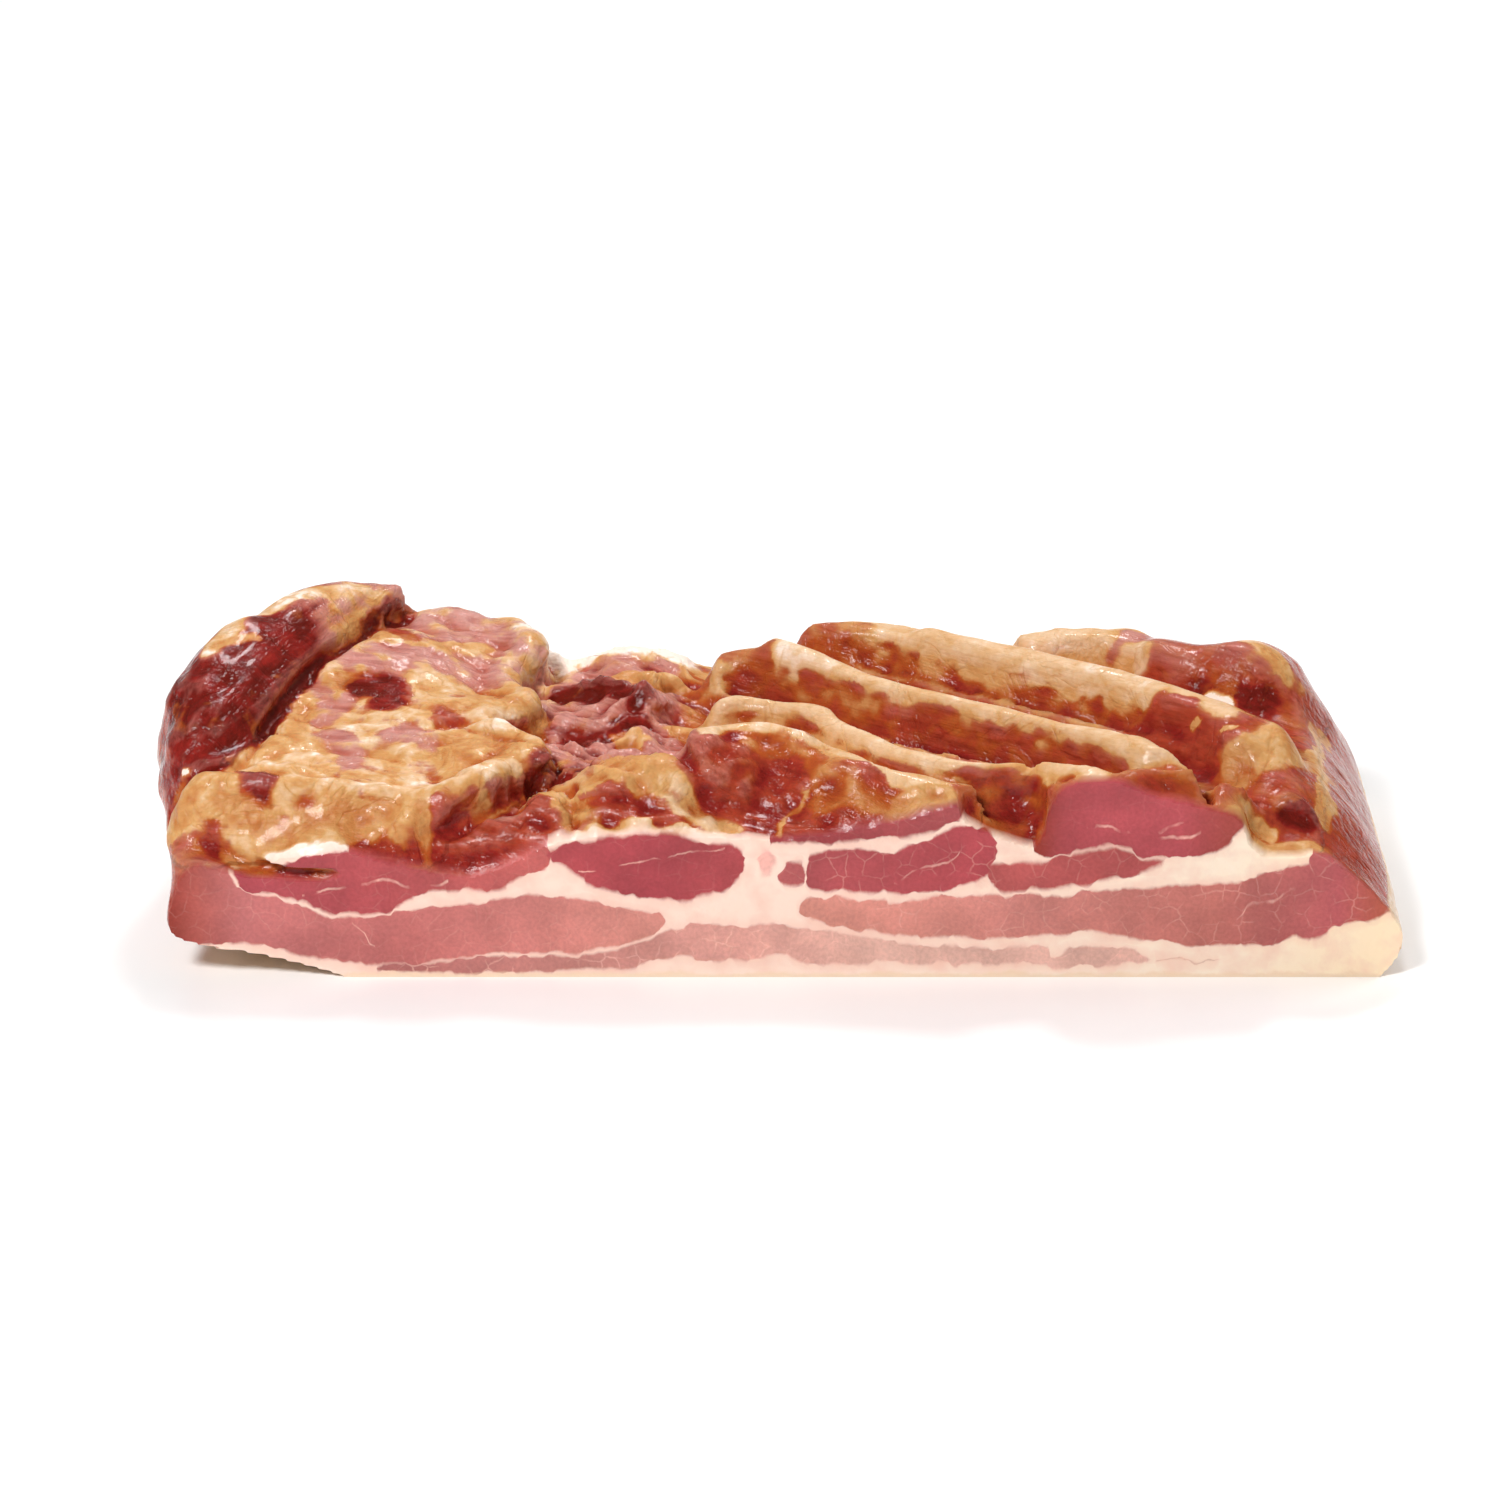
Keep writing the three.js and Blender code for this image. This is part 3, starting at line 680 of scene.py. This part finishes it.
class BACON_OT_fold_meat(bpy.types.Operator):
    """Carves the troughs between the strips and works the folds of fat, lean and membrane"""

    bl_idname = "bacon.fold_meat"
    bl_label = "Fold the meat"

    def execute(self, context):
        piece = context.scene.objects[PIECE]
        points, normals = mesh_points(piece)
        drop, crest = strip_drop(points, RIB_STRIPS)
        fold_drop, fold_crest = strip_drop(points, ["front fold"])
        target = np.maximum(np.maximum(crest - drop, fold_crest - fold_drop), TROUGH)
        away, _ = beside(points, STRIPS["front fold"][0])
        behind_fold = smooth(-2, 2, away)
        region = smooth(-22, -12, points[:, 0]) * (1 - smooth(104, 116, points[:, 0]))
        region *= smooth(0.2, 0.6, normals[:, 2]) * smooth(33, 38, points[:, 2]) * behind_fold
        region *= 1 - smooth(10, 18, np.minimum(drop, 60) / WALL_SLOPE)
        points[:, 2] += region * (np.minimum(points[:, 2], target) - points[:, 2])
        x, y, z = points.T
        corner = smooth(102, 108, x) * (1 - smooth(128, 136, x)) * (1 - smooth(-35, -22, y)) * smooth(30, 33, z)
        slope = np.interp(x, *np.array(CUT_EDGE).T) + 1.5 + CORNER_SLOPE * (y - CUT_Y)
        points[:, 2] += corner * (np.minimum(z, slope) - z)
        set_points(piece, points)
        for line, shift, half, height in FOLDS:
            points, normals = mesh_points(piece)
            away, _ = beside(points, line, half + abs(shift))
            hump = bell((away - shift) / half) * smooth(30, 36, points[:, 2]) * smooth(-0.2, 0.3, normals[:, 2])
            hump *= smooth(0, 2, points[:, 1] - CUT_Y) * (1 - smooth(48, 56, points[:, 1]))
            set_points(piece, points + (height * hump)[:, None] * normals)
        self.lean_back(piece)
        points, _ = mesh_points(piece)
        low_left = smooth(-128, -148, points[:, 0]) * (1 - smooth(8, 26, points[:, 2]))
        points[:, 0] -= LEFT_FOOT * low_left
        points[:, 2] -= LEFT_SAG * low_left * smooth(0, 2, points[:, 2])
        set_points(piece, points)
        remesh(piece, MM * context.scene.bacon.facet)
        points, _ = mesh_points(piece)
        soften(piece, LAST_ROUNDS, near_flats(points))
        return {"FINISHED"}

    def lean_back(self, piece):
        """Leans the meat above the cut's edge back from the knife's plane."""
        points, _ = mesh_points(piece)
        x, y, z = points.T
        above = np.clip(z - np.interp(x, *np.array(CUT_EDGE).T), 0, None)
        most = LEAN_BACK * (0.6 + 0.4 * smooth(-60, -10, x))
        points[:, 1] += most * (1 - np.exp(-above / 2.5)) * (1 - smooth(4, 14, y - CUT_Y))
        set_points(piece, points)


class BACON_OT_work_surface(bpy.types.Operator):
    """Works the fine relief: fibres, beads of fat and lean, wrinkles of the sheet and the film"""

    bl_idname = "bacon.work_surface"
    bl_label = "Work the surface"

    def execute(self, context):
        piece = context.scene.objects[PIECE]
        points, normals = mesh_points(piece)
        part = parts_of_outside(points, normals)
        depth = below_crest(points)
        along_roll = turned(points, ROLL_RUN)
        along_strips = turned(points, STRIP_RUN)
        sheet = part["sheet"] * (1 - part["roll"]) * (0.3 + 0.7 * smooth(-53, -45, points[:, 1]))
        wall = part["strips"] * smooth(2, 5, depth)
        height = 0.35 * grain(points, (9, 9, 9), 0.7)
        height += part["roll"] * (1 - 0.7 * part["side"]) * 0.7 * grain(along_roll, (22, 3.2, 3.2), 1.9)
        height += sheet * (0.8 * creases(along_strips, (13, 4.5, 9), 5.3) - 0.3)
        height += sheet * 0.6 * grain(points, (5, 5, 5), 8.1)
        height += part["valley"] * (2 * creases(along_strips, (12, 5.5, 8), 2.4) - 0.8)
        height += part["valley"] * 0.7 * creases(points, (6, 4, 5), 6.6)
        height += part["mound"] * 0.3 * grain(points, (5, 5, 7), 6.2)
        height += part["fold"] * (0.9 * grain(points, (6, 6, 6), 4.4) + 0.6 * creases(points, (7, 7, 7), 9.9))
        height += wall * 0.8 * beads(points, 6)
        height += (part["strips"] - wall) * 0.4 * grain(along_strips, (9, 3.5, 6), 7.7)
        height += part["right end"] * 0.25 * grain(down_right_end(points), (30, 4, 5), 3.3)
        height *= MM * context.scene.bacon.relief
        height *= smooth(0, 1.5, points[:, 1] - CUT_Y) * smooth(4, 14, points[:, 2])
        set_points(piece, points + height[:, None] * normals)
        return {"FINISHED"}


class BACON_OT_smoke_outside(bpy.types.Operator):
    """Lays out lean, fat, smoke and silver film over the outside, with painted shade in its hollows and painted sheen
    on its ridges
    """

    bl_idname = "bacon.smoke_outside"
    bl_label = "Smoke the outside"

    def execute(self, context):
        piece = context.scene.objects[PIECE]
        points, normals = mesh_points(piece)
        uneven = points.copy()
        for axis, seed in ((0, 11.5), (1, 23.7)):
            uneven[:, axis] += 3 * grain(points, (11, 11, 11), seed) + 1.4 * grain(points, (3.5, 3.5, 3.5), seed + 5)
        self.fields = np.tile(np.array(LOOKS["smoked lean"], float), (len(points), 1))
        part = parts_of_outside(0.5 * (points + uneven), normals)
        for name, look in (
            ("valley", "mauve film"),
            ("sheet", "pale fat"),
            ("roll", "dark lean"),
            ("mound", "tan fat"),
        ):
            self.lay(look, part[name])
        # Deep rows below the crest darken the trough floors with painted shade
        depth, fatty, smoke_and_trough_shade = STRIP_LOOKS.T
        deep = below_crest(0.5 * (points + uneven))
        strip = np.stack([np.interp(deep, depth, fatty), np.interp(deep, depth, smoke_and_trough_shade), np.full(len(deep), 0.1)], 1)
        self.fields += part["strips"][:, None] * (strip - self.fields)
        for name, look in (("fold", "wet lean"), ("side", "smoked lean"), ("right end", "fibrous lean")):
            self.lay(look, part[name])
        top = smooth(26, 31, points[:, 2])
        for look, half, line in PATCHES:
            away, _ = beside(uneven, line, 2 * half)
            self.lay(look, top * (1 - smooth(0.5, 1.2, np.abs(away) / half)))
        uncut = part["side"] * (1 - part["right end"]) * smooth(-45, -30, points[:, 1])
        seam = points[:, 2] - SEAM_HEIGHT - 6 * grain(points, (45, 45, 45), 14.2)
        half = np.clip(3 + 4 * grain(points, (30, 30, 30), 19.8), 1, None)
        self.lay("tan fat", 0.9 * uncut * bell(seam / half))
        rind = 1 - smooth(-1.2, 1.2, points[:, 2] - rind_height(points))
        self.lay("cream fat", rind)
        # Painted shade and painted sheen: hollows turn leaner, darker and bare of film, ridges fattier, paler and more
        # filmed
        hollow = hollows(piece, points, normals, HOLLOW_ROUNDS)
        self.fields[:, 0] -= 0.8 * np.clip(hollow, -0.4, 0.6)
        self.fields[:, 1] += 0.35 * np.clip(hollow, -0.2, 0.7)
        self.fields[:, 2] -= 0.7 * np.clip(hollow, -0.5, 0.8)
        ragged = (1 - 0.5 * part["strips"] - 0.5 * part["mound"] - 0.4 * part["fold"]) * (1 - 0.6 * rind)
        for name, values in zip(OUTSIDE_FIELDS, (*self.fields.T, ragged)):
            layer = piece.data.attributes.new(name, "FLOAT", "POINT")
            layer.data.foreach_set("value", values)
        fibres = turned(points, STRIP_RUN)
        for name, frame_points in (
            ("sheet", turned(points, SHEET_RUN)),
            ("roll", turned(points, ROLL_RUN)),
            ("right end", down_right_end(points)),
        ):
            fibres = np.where(part[name][:, None] > 0.5, frame_points, fibres)
        layer = piece.data.attributes.new("fibres", "FLOAT_VECTOR", "POINT")
        layer.data.foreach_set("vector", fibres.ravel())
        return {"FINISHED"}

    def lay(self, look, share):
        self.fields += share[:, None] * (np.array(LOOKS[look]) - self.fields)


def add(tree, kind, inputs=(), **settings):
    """Adds a node with its settings; an input is linked if it is given a socket, and set otherwise."""
    node = tree.nodes.new("ShaderNode" + kind)
    for name, value in settings.items():
        if name == "stops":
            node.color_ramp.elements.remove(node.color_ramp.elements[0])
            node.color_ramp.elements[0].position, node.color_ramp.elements[0].color = value[0]
            for place, colour in value[1:]:
                node.color_ramp.elements.new(place).color = colour
        elif name == "points":
            curve = node.mapping.curves[0]
            curve.points[0].location, curve.points[-1].location = value[0], value[-1]
            for place in value[1:-1]:
                curve.points.new(*place)
            for point in curve.points:
                point.handle_type = "AUTO_CLAMPED"
            node.mapping.update()
        else:
            setattr(node, name, value)
    for name, value in dict(inputs).items():
        if isinstance(value, bpy.types.NodeSocket):
            tree.links.new(value, node.inputs[name])
        else:
            node.inputs[name].default_value = value
    return node.outputs


def maths(tree, operation, *values):
    return add(tree, "Math", dict(enumerate(values)), operation=operation)[0]


def blend(tree, share, first, second):
    return add(tree, "Mix", {0: share, 6: first, 7: second}, data_type="RGBA")[2]


def remap(tree, value, low=0, high=1, start=0, end=1, kind="LINEAR"):
    """Carries a value from one range to another, and holds it at the ends."""
    return add(tree, "MapRange", {0: value, 1: low, 2: high, 3: start, 4: end}, interpolation_type=kind)[0]


def mottle(tree, place, size, detail, dimensions="3D", distortion=0):
    """Soft mottling with spots of a given size in millimetres."""
    inputs = {"Vector": place, "Scale": 1 / size, "Detail": detail, "Distortion": distortion}
    return add(tree, "TexNoise", inputs, noise_dimensions=dimensions)


def edge_line(tree, run, stations, past):
    """Height of a band's edge on the cut, which turns off past both ends so that the band stops there."""
    (x0, z0), (x1, z1) = stations[0], stations[-1]
    ends = [(-CUT_SPAN / 2, past(z0)), (x0 - 1.5, past(z0))], [(x1 + 1.5, past(z1)), (CUT_SPAN / 2, past(z1))]
    line = [place for place in ends[0] + stations + ends[1] if abs(place[0]) <= CUT_SPAN / 2]
    return add(tree, "FloatCurve", {1: run}, points=[(x / CUT_SPAN + 0.5, z / CUT_RISE) for x, z in line])[0]


def cut_face(tree, spot, sizes, colours):
    """Knife-cut cured belly: smooth moist lean in bundles with pale seams between them, and firm white fat."""
    place = add(tree, "SeparateXYZ", {0: spot})
    flat = add(tree, "CombineXYZ", {0: place["X"], 1: place["Z"]})[0]
    for size, swing in ((9, 2), (2.4, 0.9)):
        wave = mottle(tree, flat, size, 2, "2D")["Color"]
        wave = add(tree, "VectorMath", {0: wave, 1: (0.5, 0.5, 0.5)}, operation="SUBTRACT")[0]
        flat = add(tree, "VectorMath", {0: wave, 1: (swing, swing, 0), 2: flat}, operation="MULTIPLY_ADD")[0]
    bundle = {"Vector": flat, "Scale": 1 / (MM * sizes.fascicle), "Randomness": 0.9}
    soft_bundle = bundle | {"Smoothness": 0.35}
    cell = add(tree, "TexVoronoi", soft_bundle, voronoi_dimensions="2D", feature="SMOOTH_F1")["Position"]
    seam = add(tree, "TexVoronoi", bundle, voronoi_dimensions="2D", feature="DISTANCE_TO_EDGE")["Distance"]
    lobed = add(tree, "Mix", {0: 0.24, 4: flat, 5: cell}, data_type="VECTOR")[1]
    lobed = add(tree, "SeparateXYZ", {0: lobed})
    u = remap(tree, lobed["X"], -CUT_SPAN / 2, CUT_SPAN / 2)
    w = maths(tree, "DIVIDE", lobed["Y"], CUT_RISE)
    run = remap(tree, place["X"], -CUT_SPAN / 2, CUT_SPAN / 2)

    colour = add(tree, "ValToRGB", {0: run}, stops=[
        (0.1, colours.cut_fat), (0.55, colours.cut_fat), (0.85, linear("#fae6d0")), (0.97, linear("#fce3c0")),
    ])[0]
    cloudy = mottle(tree, flat, 8, 3, "2D")["Fac"]
    cloudy = remap(tree, cloudy, 0.45, 0.75, 0.0, 0.5)
    colour = blend(tree, cloudy, colour, linear("#efc0ae"))
    lean = veined = halo = 0.0
    for top, bottom, tints, strength, soft in CUT_BANDS.values():
        past_low = (lambda z: z + BAND_END) if top else (lambda z: CUT_RISE)
        low = edge_line(tree, u, bottom, past_low)
        depth = maths(tree, "SUBTRACT", w, low)
        if top:
            high = edge_line(tree, u, top, lambda z: z - BAND_END)
            high = maths(tree, "SUBTRACT", high, w)
            depth = maths(tree, "MINIMUM", depth, high)
        share = remap(tree, depth, -soft / CUT_RISE, soft / CUT_RISE, kind="SMOOTHSTEP")
        stops = [(x / CUT_SPAN + 0.5, linear(code)) for x, code in tints]
        tint = add(tree, "ValToRGB", {0: run}, stops=stops)[0]
        colour = blend(tree, share, colour, tint)
        lean = maths(tree, "MAXIMUM", lean, share)
        beside_lean = remap(tree, depth, -HALO / CUT_RISE, 0)
        halo = maths(tree, "MAXIMUM", halo, beside_lean)
        veined = add(tree, "Mix", {0: share, 2: veined, 3: strength})[0]

    only_fat = maths(tree, "SUBTRACT", halo, lean)
    only_fat = maths(tree, "MULTIPLY", only_fat, 0.3)
    colour = blend(tree, only_fat, colour, linear("#e9ab9b"))
    patchy = mottle(tree, flat, 7, 3, "2D")["Fac"]
    patchy = remap(tree, patchy, 0.4, 0.65)
    vein = remap(tree, seam, 0.0, 0.07, 1.0, 0.0, kind="SMOOTHSTEP")
    vein = maths(tree, "MULTIPLY", vein, patchy)
    vein = maths(tree, "MULTIPLY", vein, veined)
    z = add(tree, "SeparateXYZ", {0: flat})["Y"]
    for line, half in STREAKS.values():
        height = edge_line(tree, run, line, lambda _: CUT_RISE)
        height = maths(tree, "MULTIPLY", height, CUT_RISE)
        off = maths(tree, "SUBTRACT", height, z)
        off = maths(tree, "ABSOLUTE", off)
        streak = remap(tree, off, 0.5 * half, 2 * half, 0.8, 0.0)
        streak = maths(tree, "MULTIPLY", streak, patchy)
        first, last = line[0][0] / CUT_SPAN + 0.5, line[-1][0] / CUT_SPAN + 0.5
        middle, reach = (first + last) / 2, (last - first) / 2 - STREAK_END / CUT_SPAN
        inside = maths(tree, "COMPARE", run, middle, reach)
        streak = maths(tree, "MULTIPLY", streak, inside)
        vein = maths(tree, "MAXIMUM", vein, streak)
    vein = maths(tree, "MULTIPLY", vein, lean)
    colour = blend(tree, vein, colour, linear("#e9b5a6"))
    shade = add(tree, "TexVoronoi", bundle, voronoi_dimensions="2D")["Color"]
    shade = remap(tree, shade, start=0.97, end=1.03)
    for size, swing in ((13, 0.12), (1, 0.07)):
        fleck = mottle(tree, flat, size, 3, "2D")["Fac"]
        fleck = remap(tree, fleck, 0.3, 0.7, 1 - swing, 1 + swing)
        shade = maths(tree, "MULTIPLY", shade, fleck)
    shade = add(tree, "Mix", {0: lean, 2: 1.0, 3: shade})[0]
    colour = add(tree, "VectorMath", {0: colour, "Scale": shade}, operation="SCALE")[0]
    rind = remap(tree, z, 0.7, 1.6, 0.8, 0.0)
    colour = blend(tree, rind, colour, colours.cut_rind)
    rough = remap(tree, lean, start=0.46, end=0.36)
    grainy = mottle(tree, spot, 1.2, 2)["Fac"]
    height = maths(tree, "MULTIPLY", grainy, 0.15)
    return colour, rough, height


def smoked_outside(tree, spot, colours):
    """Smoked belly, outside: moist lean in rust to mahogany, fat tanned by smoke from cream to brown, silver film, and
    the painted shade of hollows and painted sheen of ridges that the attributes carry.
    """
    fat, smoke, film, spread = (add(tree, "Attribute", attribute_name=name)["Fac"] for name in OUTSIDE_FIELDS)
    fibres = add(tree, "Attribute", attribute_name="fibres")["Vector"]
    fibres = add(tree, "VectorMath", {0: fibres, 1: (1 / 15, 1 / 1.4, 1 / 1.4)}, operation="MULTIPLY")[0]
    fibres = mottle(tree, fibres, 1, 3)["Fac"]
    lumps = mottle(tree, spot, 9, 2, distortion=0.6)
    flecks = mottle(tree, spot, 2.2, 4)["Fac"]
    cracks = mottle(tree, spot, 12, 3, distortion=1)["Fac"]
    bent = add(tree, "VectorMath", {0: lumps["Color"], 1: (5, 5, 5), 2: spot}, operation="MULTIPLY_ADD")[0]
    lobule = add(tree, "TexVoronoi", {"Vector": bent, "Scale": 1 / 7})["Distance"]
    lobule = remap(tree, lobule, 0.15, 0.65, -0.4, 0.4)
    uneven = remap(tree, lumps["Fac"], 0.3, 0.7, -0.6, 0.6)
    ragged = remap(tree, flecks, 0.3, 0.7, -0.2, 0.2)
    cracks = maths(tree, "SUBTRACT", cracks, 0.5)
    cracks = maths(tree, "ABSOLUTE", cracks)
    cracks = remap(tree, cracks, 0.0, 0.06, 1.0, 0.0)
    streaky = remap(tree, fibres, start=-0.35, end=0.35)
    for part in (uneven, ragged, streaky):
        fat = maths(tree, "MULTIPLY_ADD", part, spread, fat)
    fat = maths(tree, "ADD", fat, lobule)
    for part, share in ((ragged, 0.4), (uneven, 0.28), (cracks, 0.1)):
        part = maths(tree, "MULTIPLY", part, spread)
        smoke = maths(tree, "MULTIPLY_ADD", part, share, smoke)
    lean_stops = [(0.1, colours.rose), (0.4, colours.rust), (0.7, colours.crimson), (1, colours.mahogany)]
    lean = add(tree, "ValToRGB", {0: smoke}, stops=lean_stops)[0]
    veil = remap(tree, fibres, start=0.25, end=0.75)
    film = maths(tree, "MULTIPLY", film, veil)
    film = remap(tree, film, 0.1, 0.6, 0.0, 0.9)
    lean = blend(tree, film, lean, colours.film)
    strand = remap(tree, fibres, 0.3, 0.7, 0.82, 1.18)
    lean = add(tree, "VectorMath", {0: lean, "Scale": strand}, operation="SCALE")[0]
    fat_stops = [(0, colours.white), (0.12, colours.cream), (0.32, colours.yellow), (0.6, colours.tan),
                 (0.95, colours.brown)]
    rendered = add(tree, "ValToRGB", {0: smoke}, stops=fat_stops)[0]
    thin = remap(tree, fat, -0.9, 0.1, 0.0, 0.9, kind="SMOOTHSTEP")
    thick = remap(tree, fat, -0.2, 0.75, kind="SMOOTHSTEP")
    edge = blend(tree, film, colours.amber, colours.film)
    colour = blend(tree, thin, lean, edge)
    colour = blend(tree, thick, colour, rendered)
    rough = remap(tree, thick, start=0.12, end=0.38)
    rough = maths(tree, "MULTIPLY_ADD", ragged, 0.2, rough)
    height = maths(tree, "MULTIPLY", flecks, 0.7)
    height = maths(tree, "MULTIPLY_ADD", fibres, 0.5, height)
    height = maths(tree, "MULTIPLY_ADD", cracks, -0.2, height)
    return colour, rough, height


def pork_material(sizes, colours):
    """Smoked pork belly: the knife's cut shows its layers, and the rest its smoked outside."""
    material = bpy.data.materials.new("Smoked pork belly")
    material.use_nodes = True
    tree = material.node_tree
    shader = tree.nodes["Principled BSDF"]
    spot = add(tree, "TexCoord")["Object"]
    spot = add(tree, "VectorMath", {0: spot, 1: (MM, MM, MM), 2: tuple(MIDDLE)}, operation="MULTIPLY_ADD")[0]
    inner = cut_face(tree, spot, sizes, colours)
    outer = smoked_outside(tree, spot, colours)
    y = add(tree, "SeparateXYZ", {0: spot})["Y"]
    cut = remap(tree, y, CUT_Y + 0.1, CUT_Y + 2.4, 1.0, 0.0)
    colour = blend(tree, cut, outer[0], inner[0])
    rough = add(tree, "Mix", {0: cut, 2: outer[1], 3: inner[1]})[0]
    height = add(tree, "Mix", {0: cut, 2: outer[2], 3: inner[2]})[0]
    bump = add(tree, "Bump", {"Strength": 0.8, "Distance": 1 / MM, "Height": height})["Normal"]
    tree.links.new(colour, shader.inputs["Base Color"])
    tree.links.new(rough, shader.inputs["Roughness"])
    tree.links.new(bump, shader.inputs["Normal"])
    shader.subsurface_method = "BURLEY"
    for name, value in MOIST_FLESH.items():
        shader.inputs[name].default_value = value
    return material


class BACON_OT_finish_piece(bpy.types.Operator):
    """Sharpens the cut's edge, gives the slab its material and ties it to the frame"""

    bl_idname = "bacon.finish_piece"
    bl_label = "Finish the piece"

    def execute(self, context):
        piece = context.scene.objects[PIECE]
        active_only(piece)
        bpy.ops.object.shade_smooth()
        self.select_flat(piece, 1, CUT_Y / MM)
        bpy.ops.object.mode_set(mode="EDIT")
        bpy.ops.mesh.region_to_loop()
        bpy.ops.mesh.mark_sharp()
        bpy.ops.object.mode_set(mode="OBJECT")
        self.select_flat(piece, 2, 0)
        bpy.ops.object.mode_set(mode="EDIT")
        bpy.ops.mesh.dissolve_limited(angle_limit=math.radians(1))
        bpy.ops.object.mode_set(mode="OBJECT")
        piece.data.materials.append(pork_material(context.scene.bacon, context.scene.bacon_colours))
        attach(piece, "root")
        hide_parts(NODE)
        return {"FINISHED"}

    def select_flat(self, piece, axis, level):
        """Selects the faces that lie wholly in a plane."""
        bpy.ops.object.mode_set(mode="EDIT")
        bpy.ops.mesh.select_mode(type="FACE")
        bpy.ops.mesh.select_all(action="DESELECT")
        bpy.ops.object.mode_set(mode="OBJECT")
        mesh = piece.data
        for face in mesh.polygons:
            face.select = all(abs(mesh.vertices[i].co[axis] - level) < 1e-6 for i in face.vertices)


class BACON_OT_set_stage(bpy.types.Operator):
    """Adds the floor, the lights and the camera"""

    bl_idname = "bacon.set_stage"
    bl_label = "Set the stage"

    def execute(self, context):
        bpy.ops.object.select_all(action="DESELECT")
        bpy.ops.mesh.primitive_plane_add(size=8, location=(0, 0, 0))
        floor = context.object
        floor.name = "floor"
        material = bpy.data.materials.new("White lacquer")
        material.use_nodes = True
        shader = material.node_tree.nodes["Principled BSDF"]
        shader.inputs["Base Color"].default_value = (0.98, 0.975, 0.97, 1)
        shader.inputs["Roughness"].default_value = 0.3
        floor.data.materials.append(material)
        world = bpy.data.worlds.new("Studio")
        world.use_nodes = True
        world.node_tree.nodes["Background"].inputs["Color"].default_value = (1, 1, 1, 1)
        world.node_tree.nodes["Background"].inputs["Strength"].default_value = SKY
        context.scene.world = world
        for name, (place, size, power, mirrored) in LAMPS.items():
            bpy.ops.object.light_add(type="AREA", location=place)
            lamp = context.object
            lamp.name = name
            lamp.data.size = size
            lamp.data.energy = power
            lamp.visible_glossy = mirrored
            lamp.rotation_euler = (LAMP_AIM - Vector(place)).to_track_quat("-Z", "Y").to_euler()
        bpy.ops.object.camera_add(location=CAMERA_PLACE, rotation=(math.radians(CAMERA_TILT), 0, 0))
        camera = context.object
        camera.data.lens = CAMERA_LENS
        camera.data.sensor_width = 36
        camera.data.clip_start = 0.01
        context.scene.camera = camera
        context.scene.view_settings.view_transform = "Standard"
        return {"FINISHED"}


class BACON_PT_panel(bpy.types.Panel):
    """Lists the steps, sizes and colours of the slab"""

    bl_idname = "BACON_PT_panel"
    bl_label = "Smoked bacon"
    bl_space_type = "VIEW_3D"
    bl_region_type = "UI"
    bl_category = "Bacon"

    def draw(self, context):
        for step in STEPS:
            self.layout.operator(step.bl_idname)
        for group in (context.scene.bacon, context.scene.bacon_colours):
            column = self.layout.column()
            for name in group.bl_rna.properties.keys():
                if name not in ("rna_type", "name"):
                    column.prop(group, name)


STEPS = (
    BACON_OT_shape_slab,
    BACON_OT_fold_meat,
    BACON_OT_work_surface,
    BACON_OT_smoke_outside,
    BACON_OT_finish_piece,
    BACON_OT_set_stage,
)
CLASSES = (BaconSizes, BaconColours) + STEPS + (BACON_PT_panel,)


def register():
    for cls in CLASSES:
        bpy.utils.register_class(cls)
    bpy.types.Scene.bacon = bpy.props.PointerProperty(type=BaconSizes)
    bpy.types.Scene.bacon_colours = bpy.props.PointerProperty(type=BaconColours)


def unregister():
    del bpy.types.Scene.bacon_colours
    del bpy.types.Scene.bacon
    for cls in reversed(CLASSES):
        bpy.utils.unregister_class(cls)


def main():
    register()
    bpy.ops.bacon.shape_slab()
    bpy.ops.bacon.fold_meat()
    bpy.ops.bacon.work_surface()
    bpy.ops.bacon.smoke_outside()
    bpy.ops.bacon.finish_piece()
    bpy.ops.bacon.set_stage()


if __name__ == "__main__":
    main()
